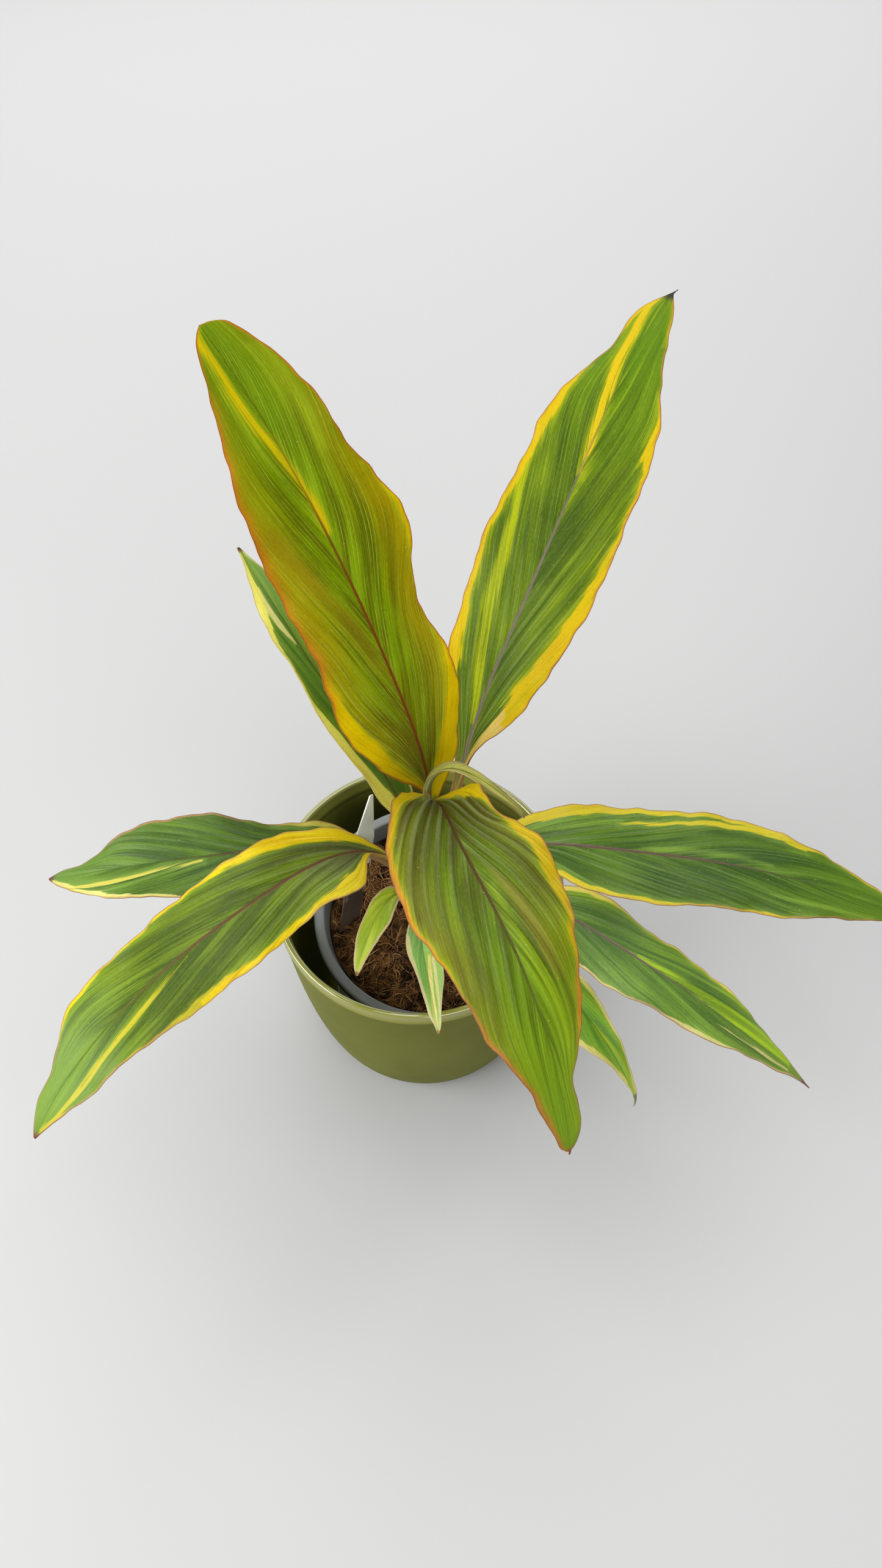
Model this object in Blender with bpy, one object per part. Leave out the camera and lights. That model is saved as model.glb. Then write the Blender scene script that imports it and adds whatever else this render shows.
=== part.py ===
"""A potted cordyline: glazed cachepot, nursery pot, soil, short stem, blank plant label and twelve leaves.

Metres, +Z up. The origin is the centre of the cachepot's flat underside, and -Y is the side towards the
viewer. Lengths below are in millimetres, angles in degrees, and MM turns them into metres.
"""

import math

import bmesh
import bpy
import numpy as np
from mathutils import Euler, Matrix, Vector, noise

MM = 0.001
SEAT_GAP = 0.3          # left between any two pieces that rest on each other
EDGE_ROUND = 1.5        # size of small rounded edges

# Cachepot: a glazed bowl with a proud band round its lip.
CACHE_RADIUS = 75.0     # outside of the lip band
CACHE_HEIGHT = 132.0
CACHE_BASE_RADIUS = 57.0
CACHE_ROUNDNESS = 1.8   # power of the curve from base to lip
CACHE_WALL = 3.5
CACHE_FLOOR = 5.0
FLOOR_CORNER = 3.0      # size of the rounding between floor and wall inside
LIP_BAND_HEIGHT = 9.5
LIP_BAND_PROUD = 0.8
LIP_ROUND = 1.2
CACHE_SIDES = 48
CACHE_RINGS = 9         # heights at which the bowl's curve is drawn

# Nursery pot: thin grey plastic, leaning forward inside the cachepot.
NURSERY_RADIUS = 60.0   # outside of the rolled rim
NURSERY_HEIGHT = 109.0
NURSERY_BASE_RADIUS = 43.0
NURSERY_WALL = 1.4
NURSERY_RIM_WIDTH = 5.5
NURSERY_RIM_HEIGHT = 8.0
NURSERY_LEAN = 8.0
NURSERY_FOOT = (4.0, 5.6)  # where its base centre stands on the cachepot's floor
NURSERY_SIDES = 44      # the soil has as many
DRAIN_HOLES = 6
DRAIN_RADIUS = 3.5
DRAIN_CIRCLE = 27.0

# Soil: fills the nursery pot to below its rim.
SOIL_BELOW_RIM = 13.0
SOIL_MOUND = 3.0        # how much higher the middle is than the edge
SOIL_LUMPS = 2.2        # height of the lumps
SOIL_LUMP_SIZE = 9.0    # with finer ones of half that size on them
SOIL_RINGS = 8          # rings of points from the edge to the stem

# Stem: a short cane with leaf scars.
STEM_SUNK = 24.0        # depth in the soil
STEM_TOP_HEIGHT = 152.0
STEM_RADIUS = 6.4       # at the soil
STEM_TOP_RADIUS = 5.0
STEM_CAP_RADIUS = 3.0
STEM_STRAIGHT = 3.0     # from the soil to the first scar
STEM_SCAR = 0.4         # how far a scar ring stands out
STEM_SCARS = 7
STEM_SIDES = 12
CROWN = (8.0, -4.0, 205.0)  # the point the stem grows towards

# Plant label: a plain plastic stick with a pointed top.
LABEL_FOOT = (-36.5, -5.0, 116.0)   # its middle at the soil
LABEL_TIP = (-19.0, 10.0, 201.0)
LABEL_WIDTH = 13.0
LABEL_THICK = 0.8
LABEL_POINT = 32.0      # length of the pointed part
LABEL_TIP_HALF = 1.0
LABEL_SUNK = 15.0
LABEL_TURN = 35.0       # its face, turned from the viewer about its length

# Leaves. Every length is along the midrib, and quarter points are those of the blade.
STALK_HALF = 2.5        # half the width of the leaf stalk
STALK_THICK = 1.8
RIB_THICK = 1.4         # at the midrib, where the blade starts
BLADE_THICK = 0.7
STALK_FOLD = 38.0       # how far each side of the channelled stalk is folded up
STALK_DEPTH = 2.4       # from the midrib up to a channelled stalk's edges
TIP_HALF = 0.5
STALK_END = -0.05       # where the channel starts to open, as a share of the blade
BLADE_OPEN = 0.06       # and where it is open
RIPPLE_STARTS = 0.17    # share of the blade over which the ripple grows from nothing
RIPPLE_ENDS = 0.2
RIPPLE_POWER = 2.5      # how fast it grows towards the margin
RIPPLE_AHEAD = 0.3      # how far the left margin's is ahead, in ripples
BEND_STEPS = 9          # steps in which a half's bend is added up
WIDTH_AT = (0.0, 0.06, 0.16, 0.30, 0.45, 0.60, 0.75, 0.88, 0.96, 1.0)

# attach: height where the stalk meets the stem, and the side of the stem, in degrees from +X
# stalk, blade: lengths
# rise: climb at the stalk's foot, at the blade's base and at its quarter points
# heading: compass direction from +X at the blade's base and quarter points
# tilt: roll about the midrib at the blade's base, middle and tip, right side up
# fold, curl: how far each half is folded up at the midrib, and bends on towards its margin
# left, right: half widths at the inner stations of WIDTH_AT
# wave: height and number of the ripples along the margin
LEAVES = {
    "leaf_upper_left": dict(
        attach=(147, 80), stalk=57, blade=238,
        rise=(92, 90, 72, 64, 56, 43), heading=(138, 135, 133, 134, 136),
        tilt=(13, 5, 19), fold=(21, 6, 14), curl=(-1, -16, -7), wave=(1.6, 4),
        left=(4, 18, 31.5, 29, 29, 26, 15, 11), right=(7.5, 19, 27, 25.5, 34, 24, 19.5, 8.5)),
    "leaf_upper_right": dict(
        attach=(145, 20), stalk=67, blade=235,
        rise=(84, 64, 54, 44, 33, 20), heading=(56, 47, 52, 55, 47),
        tilt=(1, -1, 12), fold=(20, 8, 5), curl=(-1, -16, -13), wave=(1.6, 4),
        left=(6, 18, 25.5, 29, 27.5, 24, 12, 8.5), right=(4.5, 18, 27, 29, 28.5, 25, 13, 6.5)),
    "leaf_back_narrow": dict(
        attach=(137, 128), stalk=41, blade=163,
        rise=(88, 81, 57, 43, 34, 27), heading=(132, 137, 129, 124, 121),
        tilt=(13, -15, -11), fold=(19, 17, 12), curl=(-2, -8, -9), wave=(1.2, 3),
        left=(2.5, 9, 13, 14.5, 13, 11.5, 6, 2), right=(3, 8.5, 13, 14.5, 14, 12, 7, 2.5)),
    "leaf_left_low": dict(
        attach=(133, 175), stalk=53, blade=158,
        rise=(85, 44, 16, -2, -15, -24), heading=(184, 192, 181, 175, 169),
        tilt=(4, 12, -11), fold=(23, 16, 5), curl=(1, -8, -13), wave=(1.2, 3),
        left=(5, 10.5, 15, 18.5, 19, 16, 10, 4.5), right=(7.5, 11, 11.5, 19, 20.5, 17, 6.5, 4)),
    "leaf_left_front": dict(
        attach=(143, 222), stalk=57, blade=213,
        rise=(85, 58, 24, 0, -22, -41), heading=(211, 222, 218, 220, 228),
        tilt=(20, 11, -15), fold=(24, 1, 10), curl=(2, -20, -10), wave=(1.6, 4),
        left=(2, 19, 19, 22, 21, 17, 11.5, 4.5), right=(5, 13.5, 19.5, 21.5, 20, 21, 9, 6)),
    "leaf_front": dict(
        attach=(149, 272), stalk=79, blade=199,
        rise=(96, 73, 33, 1, -26, -50), heading=(286, 280, 289, 285, 274),
        tilt=(21, 2, 43), fold=(33, 1, 4), curl=(8, -17, -15), wave=(1.4, 5),
        left=(6, 16.5, 19.5, 30.5, 27, 19, 8, 8), right=(2, 13.5, 26, 31, 26.5, 22, 12.5, 6.5)),
    "leaf_right": dict(
        attach=(139, 340), stalk=49, blade=199,
        rise=(81, 48, 21, 3, -11, -23), heading=(341, 336, 344, 343, 343),
        tilt=(-18, -11, 0), fold=(24, 9, 9), curl=(1, -13, -11), wave=(1.4, 4),
        left=(8.5, 15, 19, 20, 22, 17, 11.5, 5.5), right=(6, 10.5, 21.5, 23, 21, 18.5, 11, 5.5)),
    "leaf_right_front": dict(
        attach=(129, 305), stalk=53, blade=167,
        rise=(68, 33, 12, -4, -16, -27), heading=(329, 316, 319, 321, 320),
        tilt=(-11, 13, 34), fold=(18, 3, 9), curl=(-3, -18, -11), wave=(1.2, 4),
        left=(4.5, 11, 18.5, 16.5, 19.5, 15, 9, 3), right=(4.5, 10.5, 19.5, 20, 18.5, 15.5, 9, 2.5)),
    "leaf_right_small": dict(
        attach=(122, 325), stalk=42, blade=112,
        rise=(49, 10, -7, -24, -40, -58), heading=(315, 312, 308, 305, 300),
        tilt=(-1, -8, 10), fold=(22, 10, 11), curl=(0, -13, -10), wave=(0.8, 3),
        left=(2, 5.5, 9, 10.5, 8, 6, 3.5, 2), right=(2, 5.5, 8.5, 10.5, 12, 6, 2, 0.5)),
    "leaf_basal_left": dict(
        attach=(127, 212), stalk=32, blade=54,
        rise=(65, 61, 18, -14, -39, -61), heading=(228, 237, 241, 240, 242),
        tilt=(20, 0, -4), fold=(26, 14, 10), curl=(3, -10, -10), wave=(0.5, 2),
        left=(3, 4.5, 6, 7.5, 5.5, 3.5, 2, 1), right=(4, 5.5, 6.5, 6, 5.5, 4.5, 3, 1.5)),
    "leaf_basal_front": dict(
        attach=(122, 262), stalk=27, blade=69,
        rise=(56, 56, 25, -2, -28, -52), heading=(259, 268, 276, 277, 276),
        tilt=(4, 13, 3), fold=(23, 16, 11), curl=(1, -9, -10), wave=(0.5, 2),
        left=(2.5, 5.5, 7, 8, 7.5, 5, 2.5, 1.5), right=(2.5, 6, 8, 8, 5.5, 4, 2.5, 1)),
    "leaf_young_rolled": dict(
        attach=(152.6, 0), stalk=73, blade=72,
        rise=(78, 85, 61, 25, -15, -54), heading=(-29, -31, -43, -40, -34),
        tilt=(-5, -14, -8), fold=(45, 46, 39), curl=(9, 10, -1), wave=(0.3, 2),
        left=(2.5, 3, 3, 3.5, 3, 2, 1.5, 1), right=(2.5, 2.5, 2.5, 3.5, 3.5, 4, 1.5, 0.5)),
}
LARGE_LEAF_GRID = (6, 20)   # spans across and along
SMALL_LEAF_GRID = (4, 14)
SMALL_BLADE = 130           # a blade shorter than this takes the small grid
STEPS_PER_SPAN = 6          # midrib steps added up in each span along


def clear_scene():
    for obj in list(bpy.data.objects):
        bpy.data.objects.remove(obj)


def material(name, colour, roughness, metallic=0.0):
    made = bpy.data.materials.new(name)
    made.use_nodes = True
    shader = made.node_tree.nodes["Principled BSDF"]
    shader.inputs["Base Color"].default_value = (*colour, 1)
    shader.inputs["Roughness"].default_value = roughness
    shader.inputs["Metallic"].default_value = metallic
    made.diffuse_color = (*colour, 1)
    return made


def add_object(name, bm, finish=None, smooth_under=40):
    mesh = bpy.data.meshes.new(name)
    bm.to_mesh(mesh)
    bm.free()
    obj = bpy.data.objects.new(name, mesh)
    bpy.context.scene.collection.objects.link(obj)
    if finish:
        mesh.materials.append(finish)
    mesh.shade_smooth()
    mesh.set_sharp_from_angle(angle=math.radians(smooth_under))
    return obj


def turned(outline, sides):
    """A closed or axis-to-axis outline of (radius, height) points, spun about Z."""
    bm = bmesh.new()
    verts = [bm.verts.new((r * MM, 0, z * MM)) for r, z in outline]
    edges = [bm.edges.new(pair) for pair in zip(verts, verts[1:])]
    if outline[0][0] > 0:
        edges.append(bm.edges.new((verts[-1], verts[0])))
    bmesh.ops.spin(
        bm, geom=verts + edges, cent=(0, 0, 0), axis=(0, 0, 1), angle=math.tau, steps=sides, use_merge=True)
    bmesh.ops.remove_doubles(bm, verts=bm.verts, dist=1e-6)
    bmesh.ops.recalc_face_normals(bm, faces=bm.faces)
    return bm


def cut(obj, bm, name):
    """Cuts the bmesh's shape from the object, and hides the cutter."""
    cutter = add_object(name, bm)
    cutter.hide_render = True
    cutter.display_type = "WIRE"
    modifier = obj.modifiers.new(name, "BOOLEAN")
    modifier.object = cutter
    modifier.operation = "DIFFERENCE"
    return cutter


# Cachepot

def bowl_radius(z):
    """Outside radius of the bowl, without its lip band, at a height."""
    drop = 1 - z / CACHE_HEIGHT
    widening = CACHE_RADIUS - LIP_BAND_PROUD - CACHE_BASE_RADIUS
    return CACHE_BASE_RADIUS + widening * (1 - drop**CACHE_ROUNDNESS) ** (1 / CACHE_ROUNDNESS)


def make_cachepot(finish):
    top = CACHE_HEIGHT
    band_foot = top - LIP_BAND_HEIGHT
    inner = CACHE_RADIUS - CACHE_WALL
    turns = np.linspace(0, math.pi / 2, CACHE_RINGS + 1)[1:]
    heights = [band_foot * (1 - math.cos(turn)) for turn in turns]
    outline = [(0, 0), (CACHE_BASE_RADIUS, 0)]
    outline += [(bowl_radius(z), z) for z in heights]
    outline += [(CACHE_RADIUS, band_foot + LIP_ROUND), (CACHE_RADIUS, top - LIP_ROUND)]
    outline += [(CACHE_RADIUS - LIP_ROUND, top), (inner + LIP_ROUND / 2, top), (inner, top - LIP_ROUND)]
    outline += [(bowl_radius(z) - CACHE_WALL, z) for z in reversed(heights) if z > CACHE_FLOOR + FLOOR_CORNER]
    floor_edge = bowl_radius(CACHE_FLOOR) - CACHE_WALL
    outline += [(floor_edge - FLOOR_CORNER, CACHE_FLOOR + FLOOR_CORNER / 3)]
    outline += [(floor_edge - 2 * FLOOR_CORNER, CACHE_FLOOR), (0, CACHE_FLOOR)]
    add_object("cachepot", turned(outline, CACHE_SIDES), finish)


# Nursery pot and soil share one leaning frame, with its origin at the nursery pot's base centre.

def nursery_frame():
    lean = math.radians(NURSERY_LEAN)
    z = CACHE_FLOOR + SEAT_GAP + NURSERY_BASE_RADIUS * math.sin(lean)
    return Matrix.Translation(Vector((*NURSERY_FOOT, z)) * MM) @ Euler((lean, 0, 0)).to_matrix().to_4x4()


def nursery_radius(z):
    """Outside radius of the tapered wall at a height in the leaning frame."""
    top = NURSERY_RADIUS - NURSERY_RIM_WIDTH + NURSERY_WALL
    return NURSERY_BASE_RADIUS + (top - NURSERY_BASE_RADIUS) * z / NURSERY_HEIGHT


def make_nursery_pot(finish):
    top, wall = NURSERY_HEIGHT, NURSERY_WALL
    skirt = top - NURSERY_RIM_HEIGHT
    inner = NURSERY_RADIUS - NURSERY_RIM_WIDTH
    outline = [
        (0, 0), (NURSERY_BASE_RADIUS - EDGE_ROUND, 0), (NURSERY_BASE_RADIUS, EDGE_ROUND),
        (nursery_radius(top * 0.5), top * 0.5),
        (nursery_radius(top - 2 * wall), top - 2 * wall),
        (NURSERY_RADIUS - wall, top - 2 * wall), (NURSERY_RADIUS - wall, skirt),
        (NURSERY_RADIUS, skirt), (NURSERY_RADIUS, top - EDGE_ROUND), (NURSERY_RADIUS - EDGE_ROUND, top),
        (inner + EDGE_ROUND / 2, top), (inner, top - EDGE_ROUND / 2),
        (nursery_radius(top * 0.5) - wall, top * 0.5),
        (nursery_radius(2 * wall) - wall, 2 * wall), (nursery_radius(wall) - wall - EDGE_ROUND, wall), (0, wall)]
    pot = add_object("nursery_pot", turned(outline, NURSERY_SIDES), finish)
    pot.matrix_world = nursery_frame()

    drains = bmesh.new()
    for i in range(DRAIN_HOLES):
        turn = math.tau * i / DRAIN_HOLES
        place = Matrix.Translation((DRAIN_CIRCLE * MM * math.cos(turn), DRAIN_CIRCLE * MM * math.sin(turn), 0))
        bmesh.ops.create_cone(
            drains, cap_ends=True, segments=12, radius1=DRAIN_RADIUS * MM, radius2=DRAIN_RADIUS * MM,
            depth=10 * MM, matrix=place)
    cut(pot, drains, "drain_cutter").matrix_world = nursery_frame()


def soil_top():
    """Height of the soil round the stem, in the leaning frame."""
    return NURSERY_HEIGHT - SOIL_BELOW_RIM + SOIL_MOUND


def make_soil(finish):
    side_gap = NURSERY_WALL + 2 * SEAT_GAP
    floor = NURSERY_WALL + SEAT_GAP
    edge = NURSERY_HEIGHT - SOIL_BELOW_RIM
    edge_radius = nursery_radius(edge) - side_gap
    hole = STEM_RADIUS + SEAT_GAP
    outline = [(0, floor), (nursery_radius(floor) - side_gap - EDGE_ROUND, floor)]
    outline += [(nursery_radius(z) - side_gap, z) for z in (3 * floor, edge / 2, edge - SOIL_MOUND)]
    for i in range(SOIL_RINGS + 1):
        inward = i / SOIL_RINGS
        outline.append((edge_radius + (hole + EDGE_ROUND - edge_radius) * inward, edge + SOIL_MOUND * inward))
    outline += [(hole, soil_top()), (hole, soil_top() - STEM_SUNK - SEAT_GAP), (0, soil_top() - STEM_SUNK - SEAT_GAP)]
    bm = turned(outline, NURSERY_SIDES)
    for vert in bm.verts:
        r = math.hypot(vert.co.x, vert.co.y) / MM
        if vert.co.z > (edge - EDGE_ROUND) * MM and hole + 2 * EDGE_ROUND < r < edge_radius - EDGE_ROUND:
            place = vert.co / (SOIL_LUMP_SIZE * MM)
            lump = noise.noise(place) + noise.noise(2 * place) / 2
            vert.co.z += SOIL_LUMPS * MM * lump
    soil = add_object("soil", bm, finish, smooth_under=25)
    soil.matrix_world = nursery_frame()
    slot = bmesh.new()
    size = (LABEL_WIDTH + 2 * SEAT_GAP, LABEL_THICK + 2 * SEAT_GAP, 2 * (LABEL_SUNK + SEAT_GAP))
    bmesh.ops.create_cube(slot, size=1, matrix=Matrix.Diagonal((*(s * MM for s in size), 1)))
    cut(soil, slot, "label_slot_cutter").matrix_world = label_frame()


# Stem

def stem_centre(z):
    """Middle of the stem at a height: it grows from the soil straight towards the crown."""
    foot = nursery_frame() @ Vector((0, 0, soil_top() * MM)) / MM
    share = (z - foot.z) / (CROWN[2] - foot.z)
    return foot.lerp(Vector(CROWN), share)


def stem_radius(z):
    soil_height = (nursery_frame() @ Vector((0, 0, soil_top() * MM))).z / MM
    share = min(max((z - soil_height) / (STEM_TOP_HEIGHT - soil_height), 0), 1)
    return STEM_RADIUS + (STEM_TOP_RADIUS - STEM_RADIUS) * share


def make_stem(finish):
    frame = nursery_frame()
    lean = frame.to_3x3()
    axis = lean @ Vector((0, 0, 1))
    surface = frame @ Vector((0, 0, soil_top() * MM)) / MM
    rings = [(surface - axis * STEM_SUNK, STEM_RADIUS), (surface, STEM_RADIUS)]
    first = surface.z + STEM_STRAIGHT
    step = (STEM_TOP_HEIGHT - first) / STEM_SCARS
    for i in range(STEM_SCARS):
        z = first + step * i
        rings += [(stem_centre(z), stem_radius(z) - STEM_SCAR), (stem_centre(z + step / 2), stem_radius(z))]
    rings.append((stem_centre(STEM_TOP_HEIGHT - EDGE_ROUND), STEM_TOP_RADIUS - STEM_SCAR))
    rings.append((stem_centre(STEM_TOP_HEIGHT), STEM_CAP_RADIUS))
    bm = bmesh.new()
    loops = []
    for centre, radius in rings:
        turn = lean if centre.z <= surface.z else Matrix.Identity(3)
        loop = bmesh.ops.create_circle(bm, segments=STEM_SIDES, radius=radius * MM)["verts"]
        for vert in loop:
            vert.co = turn @ vert.co + centre * MM
        loops.append(loop)
    for low, high in zip(loops, loops[1:]):
        for i in range(STEM_SIDES):
            j = (i + 1) % STEM_SIDES
            bm.faces.new((low[i], low[j], high[j], high[i]))
    bm.faces.new(loops[0][::-1])
    bm.faces.new(loops[-1])
    bmesh.ops.recalc_face_normals(bm, faces=bm.faces)
    add_object("stem", bm, finish, smooth_under=50)


# Plant label

def label_frame():
    """Origin at the label's middle where it enters the soil, Z along the label, X across it."""
    foot, tip = Vector(LABEL_FOOT), Vector(LABEL_TIP)
    up = (tip - foot).normalized()
    turn = math.radians(LABEL_TURN)
    face = Vector((math.sin(turn), -math.cos(turn), 0))
    across = -face.cross(up).normalized()
    back = up.cross(across)
    frame = Matrix((across, back, up)).transposed().to_4x4()
    frame.translation = foot * MM
    return frame


def make_label(finish):
    half, height = LABEL_WIDTH / 2, (Vector(LABEL_TIP) - Vector(LABEL_FOOT)).length
    shoulder = height - LABEL_POINT
    face = [(-half, -LABEL_SUNK), (half, -LABEL_SUNK), (half, shoulder)]
    face += [(LABEL_TIP_HALF, height), (-LABEL_TIP_HALF, height), (-half, shoulder)]
    bm = bmesh.new()
    corners = [bm.verts.new((x * MM, -LABEL_THICK / 2 * MM, z * MM)) for x, z in face]
    sheet = bm.faces.new(corners)
    raised = bmesh.ops.extrude_face_region(bm, geom=[sheet])["geom"]
    bmesh.ops.translate(
        bm, verts=[g for g in raised if isinstance(g, bmesh.types.BMVert)], vec=(0, LABEL_THICK * MM, 0))
    bmesh.ops.recalc_face_normals(bm, faces=bm.faces)
    label = add_object("plant_label", bm, finish, smooth_under=20)
    label.matrix_world = label_frame()


# Leaves

def along(stations, values, s):
    """A smooth curve through the values at their stations, read at s."""
    stations, values = np.asarray(stations, float), np.asarray(values, float)
    slope = np.gradient(values, stations)
    s = np.clip(s, stations[0], stations[-1])
    i = np.clip(np.searchsorted(stations, s, side="right") - 1, 0, len(stations) - 2)
    span = stations[i + 1] - stations[i]
    t = (s - stations[i]) / span
    return (
        (1 + 2 * t) * (1 - t) ** 2 * values[i] + t * (1 - t) ** 2 * span * slope[i]
        + t * t * (3 - 2 * t) * values[i + 1] + t * t * (t - 1) * span * slope[i + 1])


def midrib(leaf, s):
    """Points of the midrib at lengths s from the stalk's foot, with the right-hand and upward directions there."""
    stalk, blade = leaf["stalk"], leaf["blade"]
    quarters = stalk + blade * np.linspace(0, 1, 5)
    rise = np.radians(along([0, *quarters], leaf["rise"], s))
    heading = np.radians(along(quarters, leaf["heading"], s))
    forward = np.stack([np.cos(rise) * np.cos(heading), np.cos(rise) * np.sin(heading), np.sin(rise)], 1)
    height, side = leaf["attach"]
    out = 0
    if height < STEM_TOP_HEIGHT:
        out = stem_radius(height) + SEAT_GAP + STALK_DEPTH * math.sin(rise[0])
    foot = stem_centre(height)
    start = (foot.x + out * math.cos(math.radians(side)), foot.y + out * math.sin(math.radians(side)), height)
    steps = (forward[1:] + forward[:-1]) / 2 * np.diff(s)[:, None]
    points = np.array(start) + np.vstack([np.zeros(3), np.cumsum(steps, 0)])
    level = np.stack([np.sin(heading), -np.cos(heading), np.zeros_like(heading)], 1)
    over = np.cross(level, forward)
    roll = np.radians(along(stalk + blade * np.array([0, 0.5, 1]), leaf["tilt"], s))[:, None]
    return points, np.cos(roll) * level + np.sin(roll) * over, np.cos(roll) * over - np.sin(roll) * level


def leaf_rows(leaf, across, s):
    """Points of the leaf's middle surface: a row for each length s, a point for each across from -1 to 1."""
    points, right, over = midrib(leaf, s)
    b = (s - leaf["stalk"]) / leaf["blade"]
    ripple, count = leaf["wave"]
    rows = np.empty((len(s), len(across), 3))
    for k, u in enumerate(across):
        edge = leaf["left"] if u < 0 else leaf["right"]
        half = np.maximum(along(WIDTH_AT, [STALK_HALF, *edge, TIP_HALF], b), TIP_HALF) * abs(u)
        fold = np.interp(b, [STALK_END, BLADE_OPEN, 0.5, 1], [STALK_FOLD, *leaf["fold"]])
        curl = np.interp(b, [STALK_END, BLADE_OPEN, 0.5, 1], [0, *leaf["curl"]]) * abs(u)
        bend = np.radians(fold[:, None] + curl[:, None] * np.linspace(0, 1, BEND_STEPS))
        x, y = np.cos(bend).mean(1) * half, np.sin(bend).mean(1) * half
        swell = np.clip(b / RIPPLE_STARTS, 0, 1) * np.clip((1 - b) / RIPPLE_ENDS, 0, 1)
        phase = count * b + (RIPPLE_AHEAD if u < 0 else 0)
        y = y + ripple * abs(u) ** RIPPLE_POWER * swell * np.sin(math.tau * phase)
        rows[:, k] = points + math.copysign(1, u) * x[:, None] * right + y[:, None] * over
    return rows, b


def make_leaf(name, leaf, finish):
    """A grid shaped over the leaf's surface, split into triangles, then thickened alike on both sides."""
    spans_across, spans_along = LARGE_LEAF_GRID if leaf["blade"] > SMALL_BLADE else SMALL_LEAF_GRID
    across = np.linspace(-1, 1, spans_across + 1)
    s = np.linspace(0, leaf["stalk"] + leaf["blade"], STEPS_PER_SPAN * spans_along + 1)
    rows, b = leaf_rows(leaf, across, s)
    rows, b = rows[::STEPS_PER_SPAN], b[::STEPS_PER_SPAN]
    bm = bmesh.new()
    bmesh.ops.create_grid(bm, x_segments=spans_across, y_segments=spans_along, size=1)
    bm.verts.ensure_lookup_table()
    thick = bm.verts.layers.deform.verify()
    for vert in bm.verts:
        i, j = round((vert.co.x + 1) / 2 * spans_across), round((vert.co.y + 1) / 2 * spans_along)
        rib = np.interp(b[j], [STALK_END, BLADE_OPEN, 1], [STALK_THICK, RIB_THICK, BLADE_THICK])
        margin = np.interp(b[j], [STALK_END, BLADE_OPEN], [STALK_THICK, BLADE_THICK])
        vert.co = Vector(rows[j, i]) * MM
        vert[thick][0] = float((rib if across[i] == 0 else margin) / STALK_THICK)
    bmesh.ops.triangulate(bm, faces=bm.faces, quad_method="SHORT_EDGE")
    obj = add_object(name, bm, finish, smooth_under=60)
    obj.vertex_groups.new(name="thickness")
    solid = obj.modifiers.new("thickness", "SOLIDIFY")
    solid.thickness = STALK_THICK * MM
    solid.offset = 0
    solid.vertex_group = "thickness"


def main():
    clear_scene()
    make_cachepot(material("olive_glaze", (0.16, 0.17, 0.05), 0.25))
    make_nursery_pot(material("grey_plastic", (0.14, 0.15, 0.16), 0.45))
    make_soil(material("coir_soil", (0.09, 0.05, 0.025), 0.95))
    make_stem(material("cane", (0.30, 0.24, 0.10), 0.6))
    make_label(material("label_plastic", (0.45, 0.48, 0.46), 0.5))
    blade = material("variegated_leaf", (0.16, 0.32, 0.05), 0.4)
    for name, leaf in LEAVES.items():
        make_leaf(name, leaf, blade)


main()
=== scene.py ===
"""Looks of the potted cordyline: glazed cachepot, nursery pot, soil, stem, blank label and twelve striped leaves.

Metres, +Z up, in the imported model's frame, whose sizes are repeated here. Lengths below are in millimetres, angles
in degrees, and MM turns them into metres.
"""

import math
import random

import bpy
import numpy as np
from mathutils import Euler, Matrix, Vector, noise


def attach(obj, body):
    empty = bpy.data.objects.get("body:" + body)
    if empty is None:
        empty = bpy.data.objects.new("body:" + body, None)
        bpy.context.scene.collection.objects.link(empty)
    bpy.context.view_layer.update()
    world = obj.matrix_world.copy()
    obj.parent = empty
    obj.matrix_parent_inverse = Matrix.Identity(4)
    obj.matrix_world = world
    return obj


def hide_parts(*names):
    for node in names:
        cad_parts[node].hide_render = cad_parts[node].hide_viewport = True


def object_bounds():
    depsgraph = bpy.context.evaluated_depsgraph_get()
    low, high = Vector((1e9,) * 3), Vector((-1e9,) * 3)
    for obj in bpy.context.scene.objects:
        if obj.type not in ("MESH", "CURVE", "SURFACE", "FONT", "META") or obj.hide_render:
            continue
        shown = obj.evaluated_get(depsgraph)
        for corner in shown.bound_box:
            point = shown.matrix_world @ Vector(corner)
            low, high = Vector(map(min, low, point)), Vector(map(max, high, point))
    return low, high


MM = 0.001
SEAT_GAP = 0.3

# Cachepot
CACHE_RADIUS = 75.0
CACHE_HEIGHT = 132.0
CACHE_BASE_RADIUS = 57.0
CACHE_ROUNDNESS = 1.8
CACHE_WALL = 3.5
CACHE_FLOOR = 5.0
LIP_BAND_HEIGHT = 9.5
LIP_BAND_PROUD = 0.8
LIP_ROUNDING = 1.7
CACHE_SIDES = 160
BOWL_RINGS = 30

# Nursery pot and soil
NURSERY_RADIUS = 60.0
NURSERY_HEIGHT = 109.0
NURSERY_BASE_RADIUS = 43.0
NURSERY_WALL = 1.4
NURSERY_RIM_WIDTH = 5.5
NURSERY_RIM_HEIGHT = 8.0
NURSERY_LEAN = 8.0
NURSERY_FOOT = (4.0, 5.6)
NURSERY_SIDES = 128
DRAIN_HOLES = 6
DRAIN_RADIUS = 3.5
DRAIN_CIRCLE = 27.0
DRAIN_SIDES = 24
DRAIN_CUT = 10.0
HUB_RADIUS = 3.0        # of the small flat at the middle of each round floor
SOIL_BELOW_RIM = 13.0
SOIL_MOUND = 3.0
SOIL_EDGE_FADE = 3.0    # width of the soil's margin in which its lumps die out
SOIL_LUMPS = ((9, 3.0), (4.5, 2.4), (1.6, 0.8))     # size and height of each kind of lump
SOIL_RINGS = 70
FIBRE_SEED = 7
SOIL_TUFTS = 235
TUFT_TINT = (0.1, 0.8)  # these pairs are the least and the most
TUFT_SPREAD = (1.5, 4.5)
STRANDS_IN_TUFT = 24
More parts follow.
